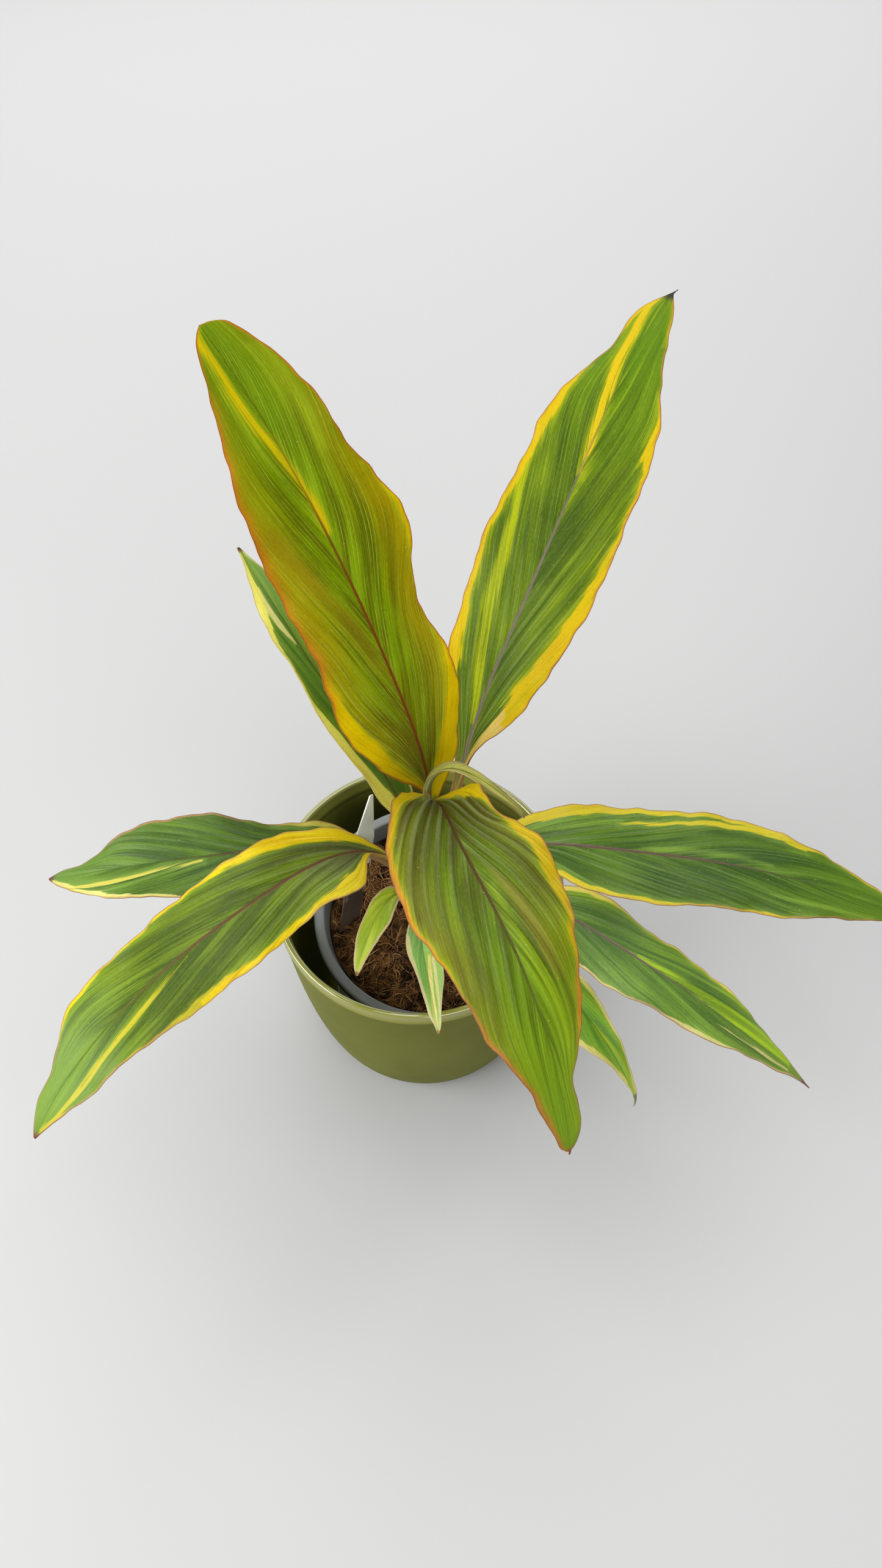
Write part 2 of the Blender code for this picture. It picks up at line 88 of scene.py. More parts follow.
STRAND_POINTS = 5
STRAND_LENGTH = (3, 12)
STRAND_LIFT = (0.1, 2.0)
STRAND_BEND = 1.8
STRAND_THICK = 0.1      # times 0.5 to 3.5

# Stem
STEM_SUNK = 12.0
STEM_TOP_HEIGHT = 152.0
STEM_RADIUS = 6.4
STEM_TOP_RADIUS = 5.0
STEM_SCAR = 0.4
STEM_SCARS = 7
STEM_SIDES = 48
CROWN = (8.0, -4.0, 205.0)

# Plant label
LABEL_FOOT = (-36.5, -5.0, 116.0)
LABEL_TIP = (-19.0, 10.0, 201.0)
LABEL_WIDTH = 13.0
LABEL_THICK = 0.8
LABEL_POINT = 32.0
LABEL_TIP_HALF = 1.0
LABEL_SUNK = 15.0
LABEL_TURN = 35.0
LABEL_EDGE = 0.22

# Leaves
STALK_HALF = 2.5
STALK_THICK = 1.8
RIB_THICK = 1.1
RIB_HALF = (1.5, 0.9, 0.35)     # at the blade's base, middle and tip
BLADE_THICK = 0.5
STALK_FOLD = 12.0       # a channelled stalk is nearly flat in its middle
STALK_CURL = 52.0       # and turns up towards its edges
STALK_DEPTH = 2.4
TIP_HALF = 0.5
STALK_END = -0.05       # this and the next, in blade lengths from the blade's base
BLADE_OPEN = 0.06
RIPPLE_STARTS = 0.17
RIPPLE_ENDS = 0.2
RIPPLE_POWER = 2.5
RIPPLE_AHEAD = 0.3
FRILL = 0.38
FRILL_POWER = 6
FRILL_RATE = 3.7        # frills for each ripple
LARGE_HALF = 25.0
PLEAT_VEINS = 2.6       # how many veins apart the pleats are
PLEAT_DEPTH = 0.26
GROOVE_DEPTH = 0.35
GROOVE_HALF = 1.1
BOX_INSET = 0.3
BEND_STEPS = 9
WIDTH_AT = (0.0, 0.06, 0.16, 0.30, 0.45, 0.60, 0.75, 0.88, 0.96, 1.0)
LARGE_LEAF_GRID = (88, 170)
SMALL_LEAF_GRID = (48, 110)
SMALL_BLADE = 130
VEIN_SPACING = 1.8
VEIN_LEAD = 0.15        # share of the blade over which veins leave the midrib
VEIN_SLANT = 0.46       # share of the blade that a vein runs from midrib to margin at one place
DRIP_SPANS = 12
DRIP_BEND = 1.5
DRIP_TAPER = 0.7
TIP_ROUNDING = 5.0
UNEVEN_EDGE = ((27.0, 0.30), (16.3, 0.28), (9.1, 0.14))     # length and size of each of its waves
MARK_KINDS = ("yellow", "lime", "pale", "blush", "tan")
BEYOND_MARGIN = 130     # percent of the half width, past the ragged edge
UNMARKED = -30.0        # depth where a leaf has no mark of a kind

# Camera and floor
CAMERA_PLACE = (0, -0.30322, 0.66360)
CAMERA_TURN = (55.6, 2.6, -2.45)        # down, right and rolled
FOCAL_LENGTH = 1930 / 2569              # in picture heights
SENSOR = 36
CLIP_START = 0.01
FLOOR_SIZE = 8
FLOOR_COLOUR = (0.38, 0.38, 0.375, 1)

# Place, size and power of each light. All of them face LIT_PLACE.
LIT_PLACE = (0, 0, 0.18)
LIGHTS = {
    "window_left": ((-1.62, -0.40, 0.98), (1.5, 1.1), 47),
    "wall_behind": ((0.10, 1.50, 0.75), (2.2, 1.2), 20),
    "ceiling": ((0.10, 0.10, 1.75), (1.2, 1.2), 20),
    "room_front": ((0.50, -1.60, 1.10), (1.2, 1.0), 18),
}
SKY = (0.95, 0.98, 1.0, 1)
SKY_STRENGTH = 0.34

# Uneven surfaces: light, dark and speck colours, patches and grains to the metre, strength of the grain, share of the
# cells that hold a speck, and cells to the metre. All colours are 0 to 255 of red, green and blue.
MOTTLES = {
    "olive_glaze": ((97, 99, 41), (90, 92, 36), (82, 80, 32), 22, 1400, 0.35, 0.02, 900),
    "grey_plastic": ((114, 116, 115), (98, 100, 98), (92, 82, 70), 40, 1800, 0.5, 0.03, 700),
    "coir_soil": ((98, 68, 36), (62, 41, 22), (140, 104, 62), 220, 1500, 0.9, 0.08, 900),
    "coir_fibre": ((150, 106, 58), (112, 74, 38), (176, 140, 92), 200, 1600, 0.6, 0.04, 600),
    "cane": ((150, 128, 82), (112, 92, 56), (70, 54, 34), 160, 1200, 0.8, 0.2, 500),
    "label_plastic": ((216, 218, 206), (202, 205, 194), (60, 46, 34), 60, 1500, 0.5, 0.03, 900),
}
THIN_GLAZE = (140, 140, 62)
# Painted shade in the crease under the cachepot's lip band
GLAZE_SHADE_UNDER_BAND = (66, 64, 26)
# Painted shade in the soil's hollows
SOIL_HOLLOW_SHADE = (14, 9, 6)
DARK_FIBRE = (40, 25, 12)
LIGHT_FIBRE = (200, 162, 106)
STUCK_EARTH = ((40, 27, 15), (78, 54, 31))
LEAF_SHADE = (24, 26, 4)
LEAF_SEED_STEP = 3
LEAF_SHINE = 0.3
LEAF_GLOW = 0.3         # share of the light on a leaf that goes through it
LEAF_UNDERSIDE = (150, 160, 110)

# attach: height where the stalk meets the stem, and the side of the stem, in degrees from +X
# stalk, blade: lengths
# rise: climb at the stalk's foot, at the blade's base and at its quarter points
# heading: compass direction from +X at the blade's base and quarter points
# tilt: roll about the midrib at the blade's base, middle and tip, right side up
# fold, curl: how far each half is folded up at the midrib, and bends on towards its margin
# left, right: half widths at the inner stations of WIDTH_AT
# wave: height and number of the ripples along the margin
# blunt: half widths at the end of the blade
# drip: length of the thread at the tip, and how fast it bends down and turns left
# pleat: height of the pleats along the veins, and how many veins apart they are
LEAVES = {
    "leaf_upper_left": dict(
        attach=(147, 80), stalk=57, blade=237.4,
        rise=(92, 90, 72, 64, 56, 43), heading=(138, 135, 133, 134, 136),
        tilt=(13, 5, 19), fold=(21, 6, 14), curl=(-1, -16, -7), wave=(1.6, 4),
        left=(4, 18, 31.5, 29, 29, 26, 15, 8), right=(7.5, 19, 27, 25.5, 34, 24, 19.5, 12), blunt=(3, 7),
        drip=(0.3, 0, 0), pleat=(0.16, 2.6)),
    "leaf_upper_right": dict(
        attach=(145, 20), stalk=67, blade=235,
        rise=(84, 64, 54, 44, 33, 20), heading=(56, 47, 52, 55, 47),
        tilt=(1, -1, 12), fold=(20, 8, 5), curl=(-1, -16, -13), wave=(1.6, 4),
        left=(6, 18, 25.5, 29, 27.5, 24, 12, 8.5), right=(4.5, 18, 27, 29, 28.5, 25, 13, 6.5), drip=(2.6, 6, -14)),
    "leaf_back_narrow": dict(
        attach=(137, 128), stalk=41, blade=163,
        rise=(88, 81, 57, 43, 34, 27), heading=(132, 137, 129, 124, 121),
        tilt=(13, -15, -11), fold=(19, 17, 12), curl=(-2, -8, -9), wave=(1.2, 3),
        left=(2.5, 9, 13, 14.5, 13, 11.5, 6, 2), right=(3, 8.5, 13, 14.5, 14, 12, 7, 2.5)),
    "leaf_left_low": dict(
        attach=(133, 175), stalk=53, blade=158,
        rise=(85, 44, 16, -2, -15, -24), heading=(184, 192, 181, 175, 169),
        tilt=(4, 12, -11), fold=(23, 16, 5), curl=(1, -8, -13), wave=(1.2, 3),
        left=(5, 10.5, 15, 18.5, 19, 16, 10, 4.5), right=(7.5, 11, 11.5, 19, 20.5, 17, 6.5, 4)),
    "leaf_left_front": dict(
        attach=(143, 222), stalk=57, blade=213,
        rise=(85, 58, 24, 0, -22, -41), heading=(211, 222, 218, 220, 228),
        tilt=(20, 11, -15), fold=(24, 1, 10), curl=(2, -20, -10), wave=(1.6, 4),
        left=(2, 19, 19, 22, 21, 17, 11.5, 4.5), right=(5, 13.5, 19.5, 21.5, 20, 21, 9, 6)),
    "leaf_front": dict(
        attach=(149, 272), stalk=79, blade=199,
        rise=(96, 73, 33, 1, -26, -50), heading=(286, 280, 289, 285, 274),
        tilt=(21, 2, 43), fold=(33, 1, 4), curl=(8, -17, -15), wave=(1.4, 5),
        left=(6, 16.5, 19.5, 30.5, 27, 19, 8, 8), right=(2, 13.5, 26, 31, 26.5, 22, 12.5, 6.5), blunt=(5, 4),
        drip=(4.5, -17, -4), pleat=(0.7, 3.1)),
    "leaf_right": dict(
        attach=(139, 340), stalk=49, blade=199,
        rise=(81, 48, 21, 3, -11, -23), heading=(341, 336, 344, 343, 343),
        tilt=(-18, -11, 0), fold=(24, 9, 9), curl=(1, -13, -11), wave=(1.4, 4),
        left=(8.5, 15, 19, 20, 22, 17, 11.5, 5.5), right=(6, 10.5, 21.5, 23, 21, 18.5, 11, 5.5)),
    "leaf_right_front": dict(
        attach=(129, 305), stalk=53, blade=167,
        rise=(68, 33, 12, -4, -16, -27), heading=(329, 316, 319, 321, 320),
        tilt=(-11, 13, 34), fold=(18, 3, 9), curl=(-3, -18, -11), wave=(1.2, 4),
        left=(4.5, 11, 18.5, 16.5, 19.5, 15, 9, 3), right=(4.5, 10.5, 19.5, 20, 18.5, 15.5, 9, 2.5),
        drip=(2.5, 0, 0)),
    "leaf_right_small": dict(
        attach=(122, 325), stalk=42, blade=112,
        rise=(49, 10, -7, -24, -40, -58), heading=(315, 312, 308, 305, 300),
        tilt=(-1, -8, 10), fold=(22, 10, 11), curl=(0, -13, -10), wave=(0.8, 3),
        left=(2, 5.5, 9, 10.5, 8, 6, 3.5, 2), right=(2, 5.5, 8.5, 10.5, 12, 6, 2, 0.5), drip=(6.0, -8, -22)),
    "leaf_basal_left": dict(
        attach=(127, 212), stalk=32, blade=54,
        rise=(65, 61, 18, -14, -39, -61), heading=(228, 237, 241, 240, 242),
        tilt=(20, 0, -4), fold=(26, 14, 10), curl=(3, -10, -10), wave=(0.5, 2),
        left=(3, 4.5, 6, 7.5, 5.5, 3.5, 2, 1), right=(4, 5.5, 6.5, 6, 5.5, 4.5, 3, 1.5)),
    "leaf_basal_front": dict(
        attach=(122, 262), stalk=27, blade=69,
        rise=(56, 56, 25, -2, -28, -52), heading=(259, 268, 276, 277, 276),
        tilt=(4, 13, 3), fold=(23, 16, 11), curl=(1, -9, -10), wave=(0.5, 2),
        left=(2.5, 5.5, 7, 8, 7.5, 5, 2.5, 1.5), right=(2.5, 6, 8, 8, 5.5, 4, 2.5, 1)),
    "leaf_young_rolled": dict(
        attach=(152.6, 0), stalk=73, blade=72,
        rise=(78, 85, 61, 25, -15, -54), heading=(-29, -31, -43, -40, -34),
        tilt=(-5, -14, -8), fold=(45, 46, 39), curl=(9, 10, -1), wave=(0.3, 2),
        left=(2.5, 3, 3, 3.5, 3, 2, 1.5, 1), right=(2.5, 2.5, 2.5, 3.5, 3.5, 4, 1.5, 0.5)),
}

# Where each leaf's coloured marks lie. A mark is a run of knots: (place along the blade, from, to) across the leaf,
# or (place, to) for a band that starts at that side's margin. All are in percent: the blade goes from 0 at its base
# to 100 at its tip, and the leaf from -100 at its left margin to 100 at its right one.
MARKS = {
    "leaf_upper_left": dict(
        yellow=[
            [(64, 3, 5), (69, 0, 6), (73, -5, 5), (77, -13, -1), (81, -22, -8), (84, -31, -17), (88, -41, -25),
             (92, -47, -31), (96, -60, -38), (100, -130, -70)],
            [(0, -50), (7, -52), (13, -65), (21, -75), (27, -72), (34, -80), (41, -88), (47, -102)],
            [(3, 25), (13, 35), (18, 55), (22, 68), (28, 80), (34, 90), (38, 100)],
            [(48, 100), (52, 97), (56, 93), (61, 94), (64, 96), (70, 99)]],
        lime=[[(76, 60, 65), (80, 57, 68), (83, 58, 72), (87, 62, 78), (91, 72, 88), (93, 84, 96)]],
        blush=[[(36, -100), (41, -93), (47, -91), (53, -96), (60, -94), (66, -92), (74, -94), (80, -96), (90, -97)]],
        tan=[[(34, -5, 0), (40, -23, -12), (49, -35, -20), (57, -55, -40), (63, -67, -53), (69, -82, -68)]]),
    "leaf_upper_right": dict(
        yellow=[
            [(63, -1, 2), (67, -4, 4), (71, -11, 0), (75, -17, -3), (79, -24, -6), (83, -40, -15), (87, -60, -28),
             (91, -64, -27), (95, -78, -39), (99, -130, -66)],
            [(90, -100), (91, -90), (95, -80), (97, -95)],
            [(18, -90), (23, -70), (29, -82), (35, -90), (42, -90), (48, -93), (52, -90), (56, -88), (61, -88),
             (66, -86), (69, -82), (73, -83), (78, -88), (82, -97)],
            [(65, 100), (69, 85), (71, 85), (74, 88), (77, 95), (80, 100)],
            [(15, 85), (19, 60), (23, 60), (26, 65), (36, 77), (47, 85), (50, 85), (53, 90), (56, 95), (63, 95),
             (68, 93)],
            [(90, 100), (93, 95), (97, 95), (100, 100)]],
        pale=[[(0, 52), (9, 60), (15, 55), (20, 60), (24, 80), (28, 100)]],
        lime=[
            [(12, -12, -4), (18, -28, -12), (25, -47, -28), (30, -57, -38), (36, -66, -44), (41, -68, -47),
             (46, -69, -51), (53, -76, -64), (58, -85, -75), (62, -91, -84)]]),
    "leaf_back_narrow": dict(
        yellow=[
            [(14, -20), (18, -20), (27, -52), (36, -65), (43, -62), (49, -78), (55, -95), (65, -95), (74, -80),
             (85, -42), (91, -42), (100, -50)]],
        pale=[[(69, -20, -12), (71, -24, -11), (76, -51, -19), (81, -58, -22), (88, -61, -29)]]),
    "leaf_left_low": dict(
        yellow=[
            [(50, -11, -8), (56, -19, -12), (62, -29, -20), (68, -40, -30), (74, -52, -41), (81, -66, -53),
             (87, -84, -70), (92, -110, -92)],
            [(0, 60), (10, 90), (17, 73), (23, 85), (28, 98)]],
        pale=[[(55, -100), (57, -93), (62, -93), (69, -90), (77, -85), (85, -82), (92, -68), (100, -60)]],
        blush=[[(40, 100), (44, 97), (65, 96), (72, 95), (76, 93), (80, 100)]]),
    "leaf_left_front": dict(
        yellow=[
            [(0, 55), (8, 60), (15, 48), (23, 62), (31, 73), (37, 83), (42, 90), (46, 95), (53, 93), (56, 93)],
            [(53, 100), (58, 96), (66, 94), (70, 93), (74, 90), (78, 91), (83, 100)],
            [(0, -30), (4, -20), (11, -57), (19, -57), (26, -80), (31, -88), (35, -86), (45, -88), (53, -87),
             (59, -88)]],
        pale=[
            [(55, -10, -7), (61, -23, -17), (64, -32, -23), (69, -41, -29), (72, -47, -34), (76, -54, -43),
             (80, -60, -48), (83, -67, -55), (87, -73, -60), (91, -81, -67), (95, -106, -78), (99, -130, -95)],
            [(52, -84), (59, -80), (64, -88), (68, -95), (77, -97), (90, -100), (98, -42)]]),
    "leaf_front": dict(
        yellow=[
            [(0, -20), (14, -22), (20, -47), (23, -80), (26, -93), (30, -97), (35, -88), (39, -82), (46, -80),
             (51, -82), (56, -85), (60, -88), (67, -95), (74, -93), (77, -88), (82, -100)],
            [(0, 80), (9, 72), (13, 55), (18, 52), (23, 78), (28, 89), (31, 90), (39, 92), (47, 93), (54, 95),
             (61, 96), (68, 100)]],
        lime=[
            [(48, -12, -8), (56, -18, -7), (61, -25, -10), (67, -34, -16), (72, -45, -25), (77, -55, -35),
             (83, -90, -48), (90, -130, -50), (97, -130, -40)]],
        blush=[
            [(68, 100), (70, 98), (74, 94), (79, 92), (84, 92), (88, 86), (94, 78), (100, 70)],
            [(28, 100), (34, 96.5), (42, 95), (50, 96), (60, 100)],
            [(66, -100), (71, -92), (77, -88), (83, -100)]],
        tan=[[(45, -22, -19), (53, -39, -26), (58, -46, -29), (64, -57, -38), (69, -60, -50)]]),
    "leaf_right": dict(
        yellow=[
            [(0, -60), (10, -78), (13, -68), (18, -70), (22, -72), (27, -76), (32, -84), (49, -90), (54, -90),
             (66, -90), (70, -88), (74, -85), (78, -93), (84, -97), (90, -85), (96, -90)],
            [(35, -61, -58), (43, -71, -64), (49, -79, -71), (54, -83, -72), (59, -86, -74), (63, -89, -76),
             (67, -91, -79), (71, -90, -80), (76, -87, -83)],
            [(4, 66), (12, 74), (20, 82), (29, 87), (38, 92), (43, 91), (48, 93), (53, 97), (64, 95), (69, 93),
             (79, 100)]],
        lime=[
            [(69, 50, 53), (71, 49, 56), (77, 53, 67), (82, 58, 77), (88, 67, 93), (93, 81, 104)],
            [(14, -50, -42), (16, -56, -39), (22, -60, -40), (29, -66, -49), (36, -70, -62)],
            [(40, -14, -10), (47, -19, -7), (55, -24, -11), (63, -23, -12), (69, -20, -15)]]),
    "leaf_right_front": dict(
        yellow=[
            [(0, -50), (10, -66), (20, -78), (24, -80), (29, -88), (36, -95), (44, -96), (52, -93), (60, -93),
             (66, -93), (72, -90), (78, -100)]],
        lime=[
            [(46, -8, -4), (54, -18, -6), (59, -24, -4), (65, -32, -2), (71, -42, -2), (77, -56, -5), (83, -83, -12),
             (89, -99, -16), (94, -120, -34)]],
        pale=[
            [(30, 100), (37, 93), (51, 98), (58, 100), (63, 90), (69, 88), (74, 90), (81, 100), (95, 85)],
            [(71, 36, 39), (76, 36, 44), (82, 36, 49), (88, 38, 56), (94, 20, 49)]]),
    "leaf_right_small": dict(
        yellow=[
            [(36, -100), (40, -82), (46, -74), (52, -78), (60, -84), (70, -86), (84, -76), (93, -42), (100, -40)],
            [(55, 100), (59, 80), (66, 70), (72, 70), (80, 62), (90, 7)]],
        lime=[[(56, 4, 10), (58, 2, 13), (66, -25, 5), (74, -50, -10), (84, -93, -62)]]),
    "leaf_basal_left": dict(
        pale=[[(0, -80), (30, -88), (70, -88), (100, -60)], [(0, 80), (30, 88), (70, 88), (100, 60)]],
        lime=[[(10, -60, 60), (90, -90, 90)]]),
    "leaf_basal_front": dict(
        yellow=[[(45, -35, -25), (49, -35, -20), (60, -28, -2), (73, -24, 14), (85, -31, 31), (95, -17, 62)]],
        pale=[
            [(47, -56, -46), (51, -57, -43), (64, -56, -39), (73, -67, -43), (86, -90, -60)],
            [(28, 100), (33, 73), (47, 73), (59, 80), (72, 70), (85, 75), (97, 90)],
            [(10, -100), (20, -97), (90, -97), (100, -90)]]),
    "leaf_young_rolled": dict(
        lime=[[(5, -130, 130), (97, -130, 130)]]),
}

# Colours, as 0 to 255 of red, green and blue, and amounts of a leaf's looks. LEAF_LOOKS says where a leaf differs.
LEAF_COLOURS = dict(
    green=(92, 126, 36), deep_green=(72, 102, 24), edge_green=(112, 132, 24), tip_green=(100, 136, 36),
    base=(100, 106, 36), lime=(160, 182, 24), yellow=(228, 202, 14), gold=(204, 158, 8), pale=(222, 212, 120),
    blush=(208, 118, 44), tan=(140, 128, 40), rib=(104, 62, 44), rim=(182, 128, 84), vein=(140, 166, 74),
    # The first colour of the next line is a painted sheen on the pleat crests, laid on as much as sheen says.
    painted_sheen=(150, 164, 110), margin=(112, 64, 52), stalk=(196, 176, 124), dry=(104, 78, 44))
LEAF_AMOUNTS = dict(
    base_reach=0.12, dry_from=1.2, green_streaks=1.0, softness=0.35, edge_amount=0.25, vein_amount=0.2,
    rib_end=0.85, rim_amount=0.5, ribbing=0.03, margin_lines=0.4, raggedness=1.0, pleat_veins=PLEAT_VEINS, sheen=0.12)
LEAF_LOOKS = {
    "leaf_upper_left": dict(
        green=(128, 158, 0), deep_green=(96, 106, 0), edge_green=(176, 150, 2), tip_green=(92, 122, 0),
        base=(110, 94, 0), lime=(170, 190, 30), yellow=(218, 190, 2), gold=(200, 164, 0), blush=(206, 112, 30),
        tan=(152, 124, 18), rib=(134, 62, 28), rim=(190, 112, 30), vein=(176, 196, 60), margin=(130, 60, 32),
        shine=0.04, base_reach=0.5, softness=1.6, edge_amount=0.85, vein_amount=0.85, rib_end=0.8, rim_amount=0.8,
        margin_lines=0.5),
    "leaf_upper_right": dict(
        green=(92, 116, 8), deep_green=(56, 80, 4), edge_green=(122, 146, 8), tip_green=(84, 122, 0),
        base=(110, 112, 30), lime=(172, 180, 14), yellow=(206, 176, 14), gold=(190, 154, 14), pale=(206, 178, 92),
        rib=(128, 112, 104), rim=(184, 120, 44), dry=(56, 54, 44), shine=0.1, dry_from=0.985, green_streaks=0.8,
        softness=0.5, edge_amount=0.3, vein_amount=0.5, rib_end=0.72, rim_amount=0.7, sheen=0.2),
    "leaf_back_narrow": dict(
        green=(120, 160, 36), deep_green=(84, 128, 24), edge_green=(118, 136, 24), tip_green=(141, 176, 76),
        base=(100, 108, 16), yellow=(252, 244, 116), gold=(236, 214, 70), pale=(240, 232, 150), rib=(120, 110, 46),
        rim=(244, 232, 140), margin=(170, 140, 80), dry_from=0.985, rim_amount=0.8, margin_lines=0.1, raggedness=0.6),
    "leaf_left_low": dict(
        green=(88, 124, 14), deep_green=(52, 84, 4), edge_green=(92, 118, 18), tip_green=(112, 148, 54),
        base=(94, 103, 50), lime=(136, 166, 66), yellow=(210, 200, 84), gold=(198, 180, 56), blush=(190, 134, 100),
        rib=(104, 78, 62), stalk=(186, 150, 96), dry=(110, 70, 56), shine=0.4, dry_from=0.98, green_streaks=0.9,
        vein_amount=0.24, rib_end=0.6, sheen=0.15),
    "leaf_left_front": dict(
        green=(109, 133, 14), deep_green=(65, 88, 5), edge_green=(122, 142, 20), tip_green=(118, 154, 46),
        base=(85, 83, 40), lime=(138, 168, 36), yellow=(230, 204, 4), gold=(210, 170, 2), pale=(192, 180, 34),
        rib=(112, 76, 52), margin=(128, 70, 54), stalk=(206, 150, 128), dry=(120, 60, 50), shine=0.25,
        base_reach=0.45, dry_from=0.99, green_streaks=1.25, softness=0.6, vein_amount=0.36, rib_end=0.75,
        margin_lines=0.2, raggedness=0.75, sheen=0.2),
    "leaf_front": dict(
        green=(102, 134, 6), deep_green=(74, 92, 2), edge_green=(126, 116, 14), tip_green=(128, 162, 10),
        base=(66, 50, 4), lime=(146, 172, 18), yellow=(198, 170, 4), gold=(174, 140, 6), blush=(192, 104, 46),
        rib=(84, 54, 30), rim=(176, 116, 58), vein=(136, 150, 64), painted_sheen=(160, 164, 128), margin=(116, 54, 36),
        dry=(160, 60, 50), shine=0.2, base_reach=0.66, dry_from=0.997, softness=0.8, edge_amount=0.6,
        vein_amount=0.22, rib_end=0.75, rim_amount=0.75, ribbing=0.06, margin_lines=0.7, pleat_veins=3.1, sheen=0.34),
    "leaf_right": dict(
        green=(80, 112, 18), deep_green=(46, 78, 8), edge_green=(94, 118, 24), tip_green=(92, 126, 20),
        base=(101, 104, 28), lime=(122, 154, 52), yellow=(200, 184, 34), gold=(190, 164, 30), pale=(196, 190, 96),
        # Its pale veins are partly real and partly a painted sheen along its pleats.
        rib=(112, 84, 78), vein=(150, 172, 120), shine=0.22, base_reach=0.16, green_streaks=1.1, vein_amount=0.34,
        rib_end=0.75, raggedness=0.45, sheen=0.2),
    "leaf_right_front": dict(
        green=(104, 142, 44), deep_green=(66, 102, 30), edge_green=(124, 154, 54), tip_green=(126, 158, 56),
        base=(96, 103, 20), lime=(174, 206, 22), yellow=(236, 220, 96), pale=(204, 198, 124), rib=(112, 88, 78),
        rim=(206, 164, 126), dry=(120, 84, 84), shine=0.4, base_reach=0.2, dry_from=0.985, green_streaks=1.1,
        vein_amount=0.34, rib_end=0.7, rim_amount=0.65, raggedness=0.6, sheen=0.25),
    "leaf_right_small": dict(
        green=(122, 172, 42), deep_green=(94, 140, 34), edge_green=(136, 180, 52), tip_green=(160, 198, 76),
        yellow=(222, 212, 116), gold=(210, 192, 90), pale=(234, 228, 144), rib=(110, 140, 50), rim=(216, 208, 150),
        margin=(190, 160, 120), dry=(136, 134, 100), dry_from=0.97, vein_amount=0.1, rib_end=0.3, rim_amount=0.8,
        raggedness=0.5),
    "leaf_basal_left": dict(
        green=(178, 200, 40), deep_green=(120, 157, 36), edge_green=(190, 206, 68), tip_green=(190, 210, 88),
        base=(126, 140, 20), lime=(190, 204, 50), pale=(194, 176, 106), rib=(150, 168, 40), rim=(208, 188, 134),
        margin=(196, 172, 124), dry=(150, 118, 70), dry_from=0.955, vein_amount=0.0, rib_end=0.3, rim_amount=0.9,
        ribbing=0.0, raggedness=0.25, sheen=0.0),
    "leaf_basal_front": dict(
        green=(168, 218, 112), deep_green=(128, 182, 86), edge_green=(180, 214, 120), tip_green=(214, 236, 150),
        base=(110, 150, 76), yellow=(246, 238, 150), gold=(226, 216, 110), pale=(236, 228, 160), rib=(150, 186, 90),
        rim=(228, 216, 168), margin=(220, 200, 150), dry=(180, 140, 80), base_reach=0.5, dry_from=0.975,
        vein_amount=0.0, rib_end=0.3, rim_amount=0.9, ribbing=0.0, raggedness=0.2, sheen=0.0),
    "leaf_young_rolled": dict(
        green=(174, 176, 82), deep_green=(118, 124, 46), edge_green=(110, 112, 42), tip_green=(134, 142, 76),
        base=(134, 112, 14), lime=(208, 206, 108), rib=(106, 110, 40), rim=(160, 150, 84), margin=(150, 116, 84),
        base_reach=0.25, vein_amount=0.1, raggedness=0.3),
}

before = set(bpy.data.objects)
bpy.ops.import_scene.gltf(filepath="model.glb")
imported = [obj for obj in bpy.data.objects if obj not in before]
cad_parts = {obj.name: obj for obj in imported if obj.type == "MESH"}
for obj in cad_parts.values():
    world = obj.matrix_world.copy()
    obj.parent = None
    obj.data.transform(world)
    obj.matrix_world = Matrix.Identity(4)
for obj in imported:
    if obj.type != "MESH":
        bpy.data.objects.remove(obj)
cad_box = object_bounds()


# Shader trees

def srgb(red, green, blue):
    """A colour given as 0 to 255, as the shaders take it."""
    linear = [c / 255 / 12.92 if c <= 10 else ((c / 255 + 0.055) / 1.055) ** 2.4 for c in (red, green, blue)]
    return (*linear, 1.0)


def shader_value(value):
    return srgb(*value) if isinstance(value, tuple) else value


class Value:
    """What comes out of a node. Arithmetic on it adds the nodes that work it out.

    A product has no node until something takes it, so that a sum with it is a single node.
    """

    def __init__(self, tree, made=None, factors=()):
        self.tree, self.made, self.factors = tree, made, factors

    def socket(self):
        if self.made is None:
            self.made = self.tree.math("MULTIPLY", *self.factors).made
        return self.made

    def math(self, operation, *others):
        return self.tree.math(operation, self, *others)

    def __add__(self, other):
        for product, rest in ((self, other), (other, self)):
            if isinstance(product, Value) and product.made is None:
                return self.tree.math("MULTIPLY_ADD", *product.factors, rest)
        return self.math("ADD", other)

    def __sub__(self, other):
        return self.math("SUBTRACT", other)

    def __mul__(self, other):
        return Value(self.tree, factors=(self, other))

    def __truediv__(self, other):
        return self.math("DIVIDE", other)

    __radd__, __rmul__ = __add__, __mul__

    def rise(self, start, end, low=0.0, high=1.0):
        """Goes smoothly from low to high as the value goes from start to end."""
        values = {"Value": self, "From Min": start, "From Max": end, "To Min": low, "To Max": high}
        return self.tree.node("ShaderNodeMapRange", values, interpolation_type="SMOOTHSTEP")[0]


class Node:
    """A node of a tree, read as node[name or number of an output]."""

    def __init__(self, tree, made, values=()):
        self.tree, self.made = tree, made
        self.take(values)

    def __getitem__(self, key):
        return Value(self.tree, self.made.outputs[key])

    def take(self, values):
        """Links each input to its Value, or sets it to a plain number or colour."""
        for key, value in dict(values).items():
            if isinstance(value, Value):
                self.tree.made.links.new(value.socket(), self.made.inputs[key])
            else:
                self.made.inputs[key].default_value = value


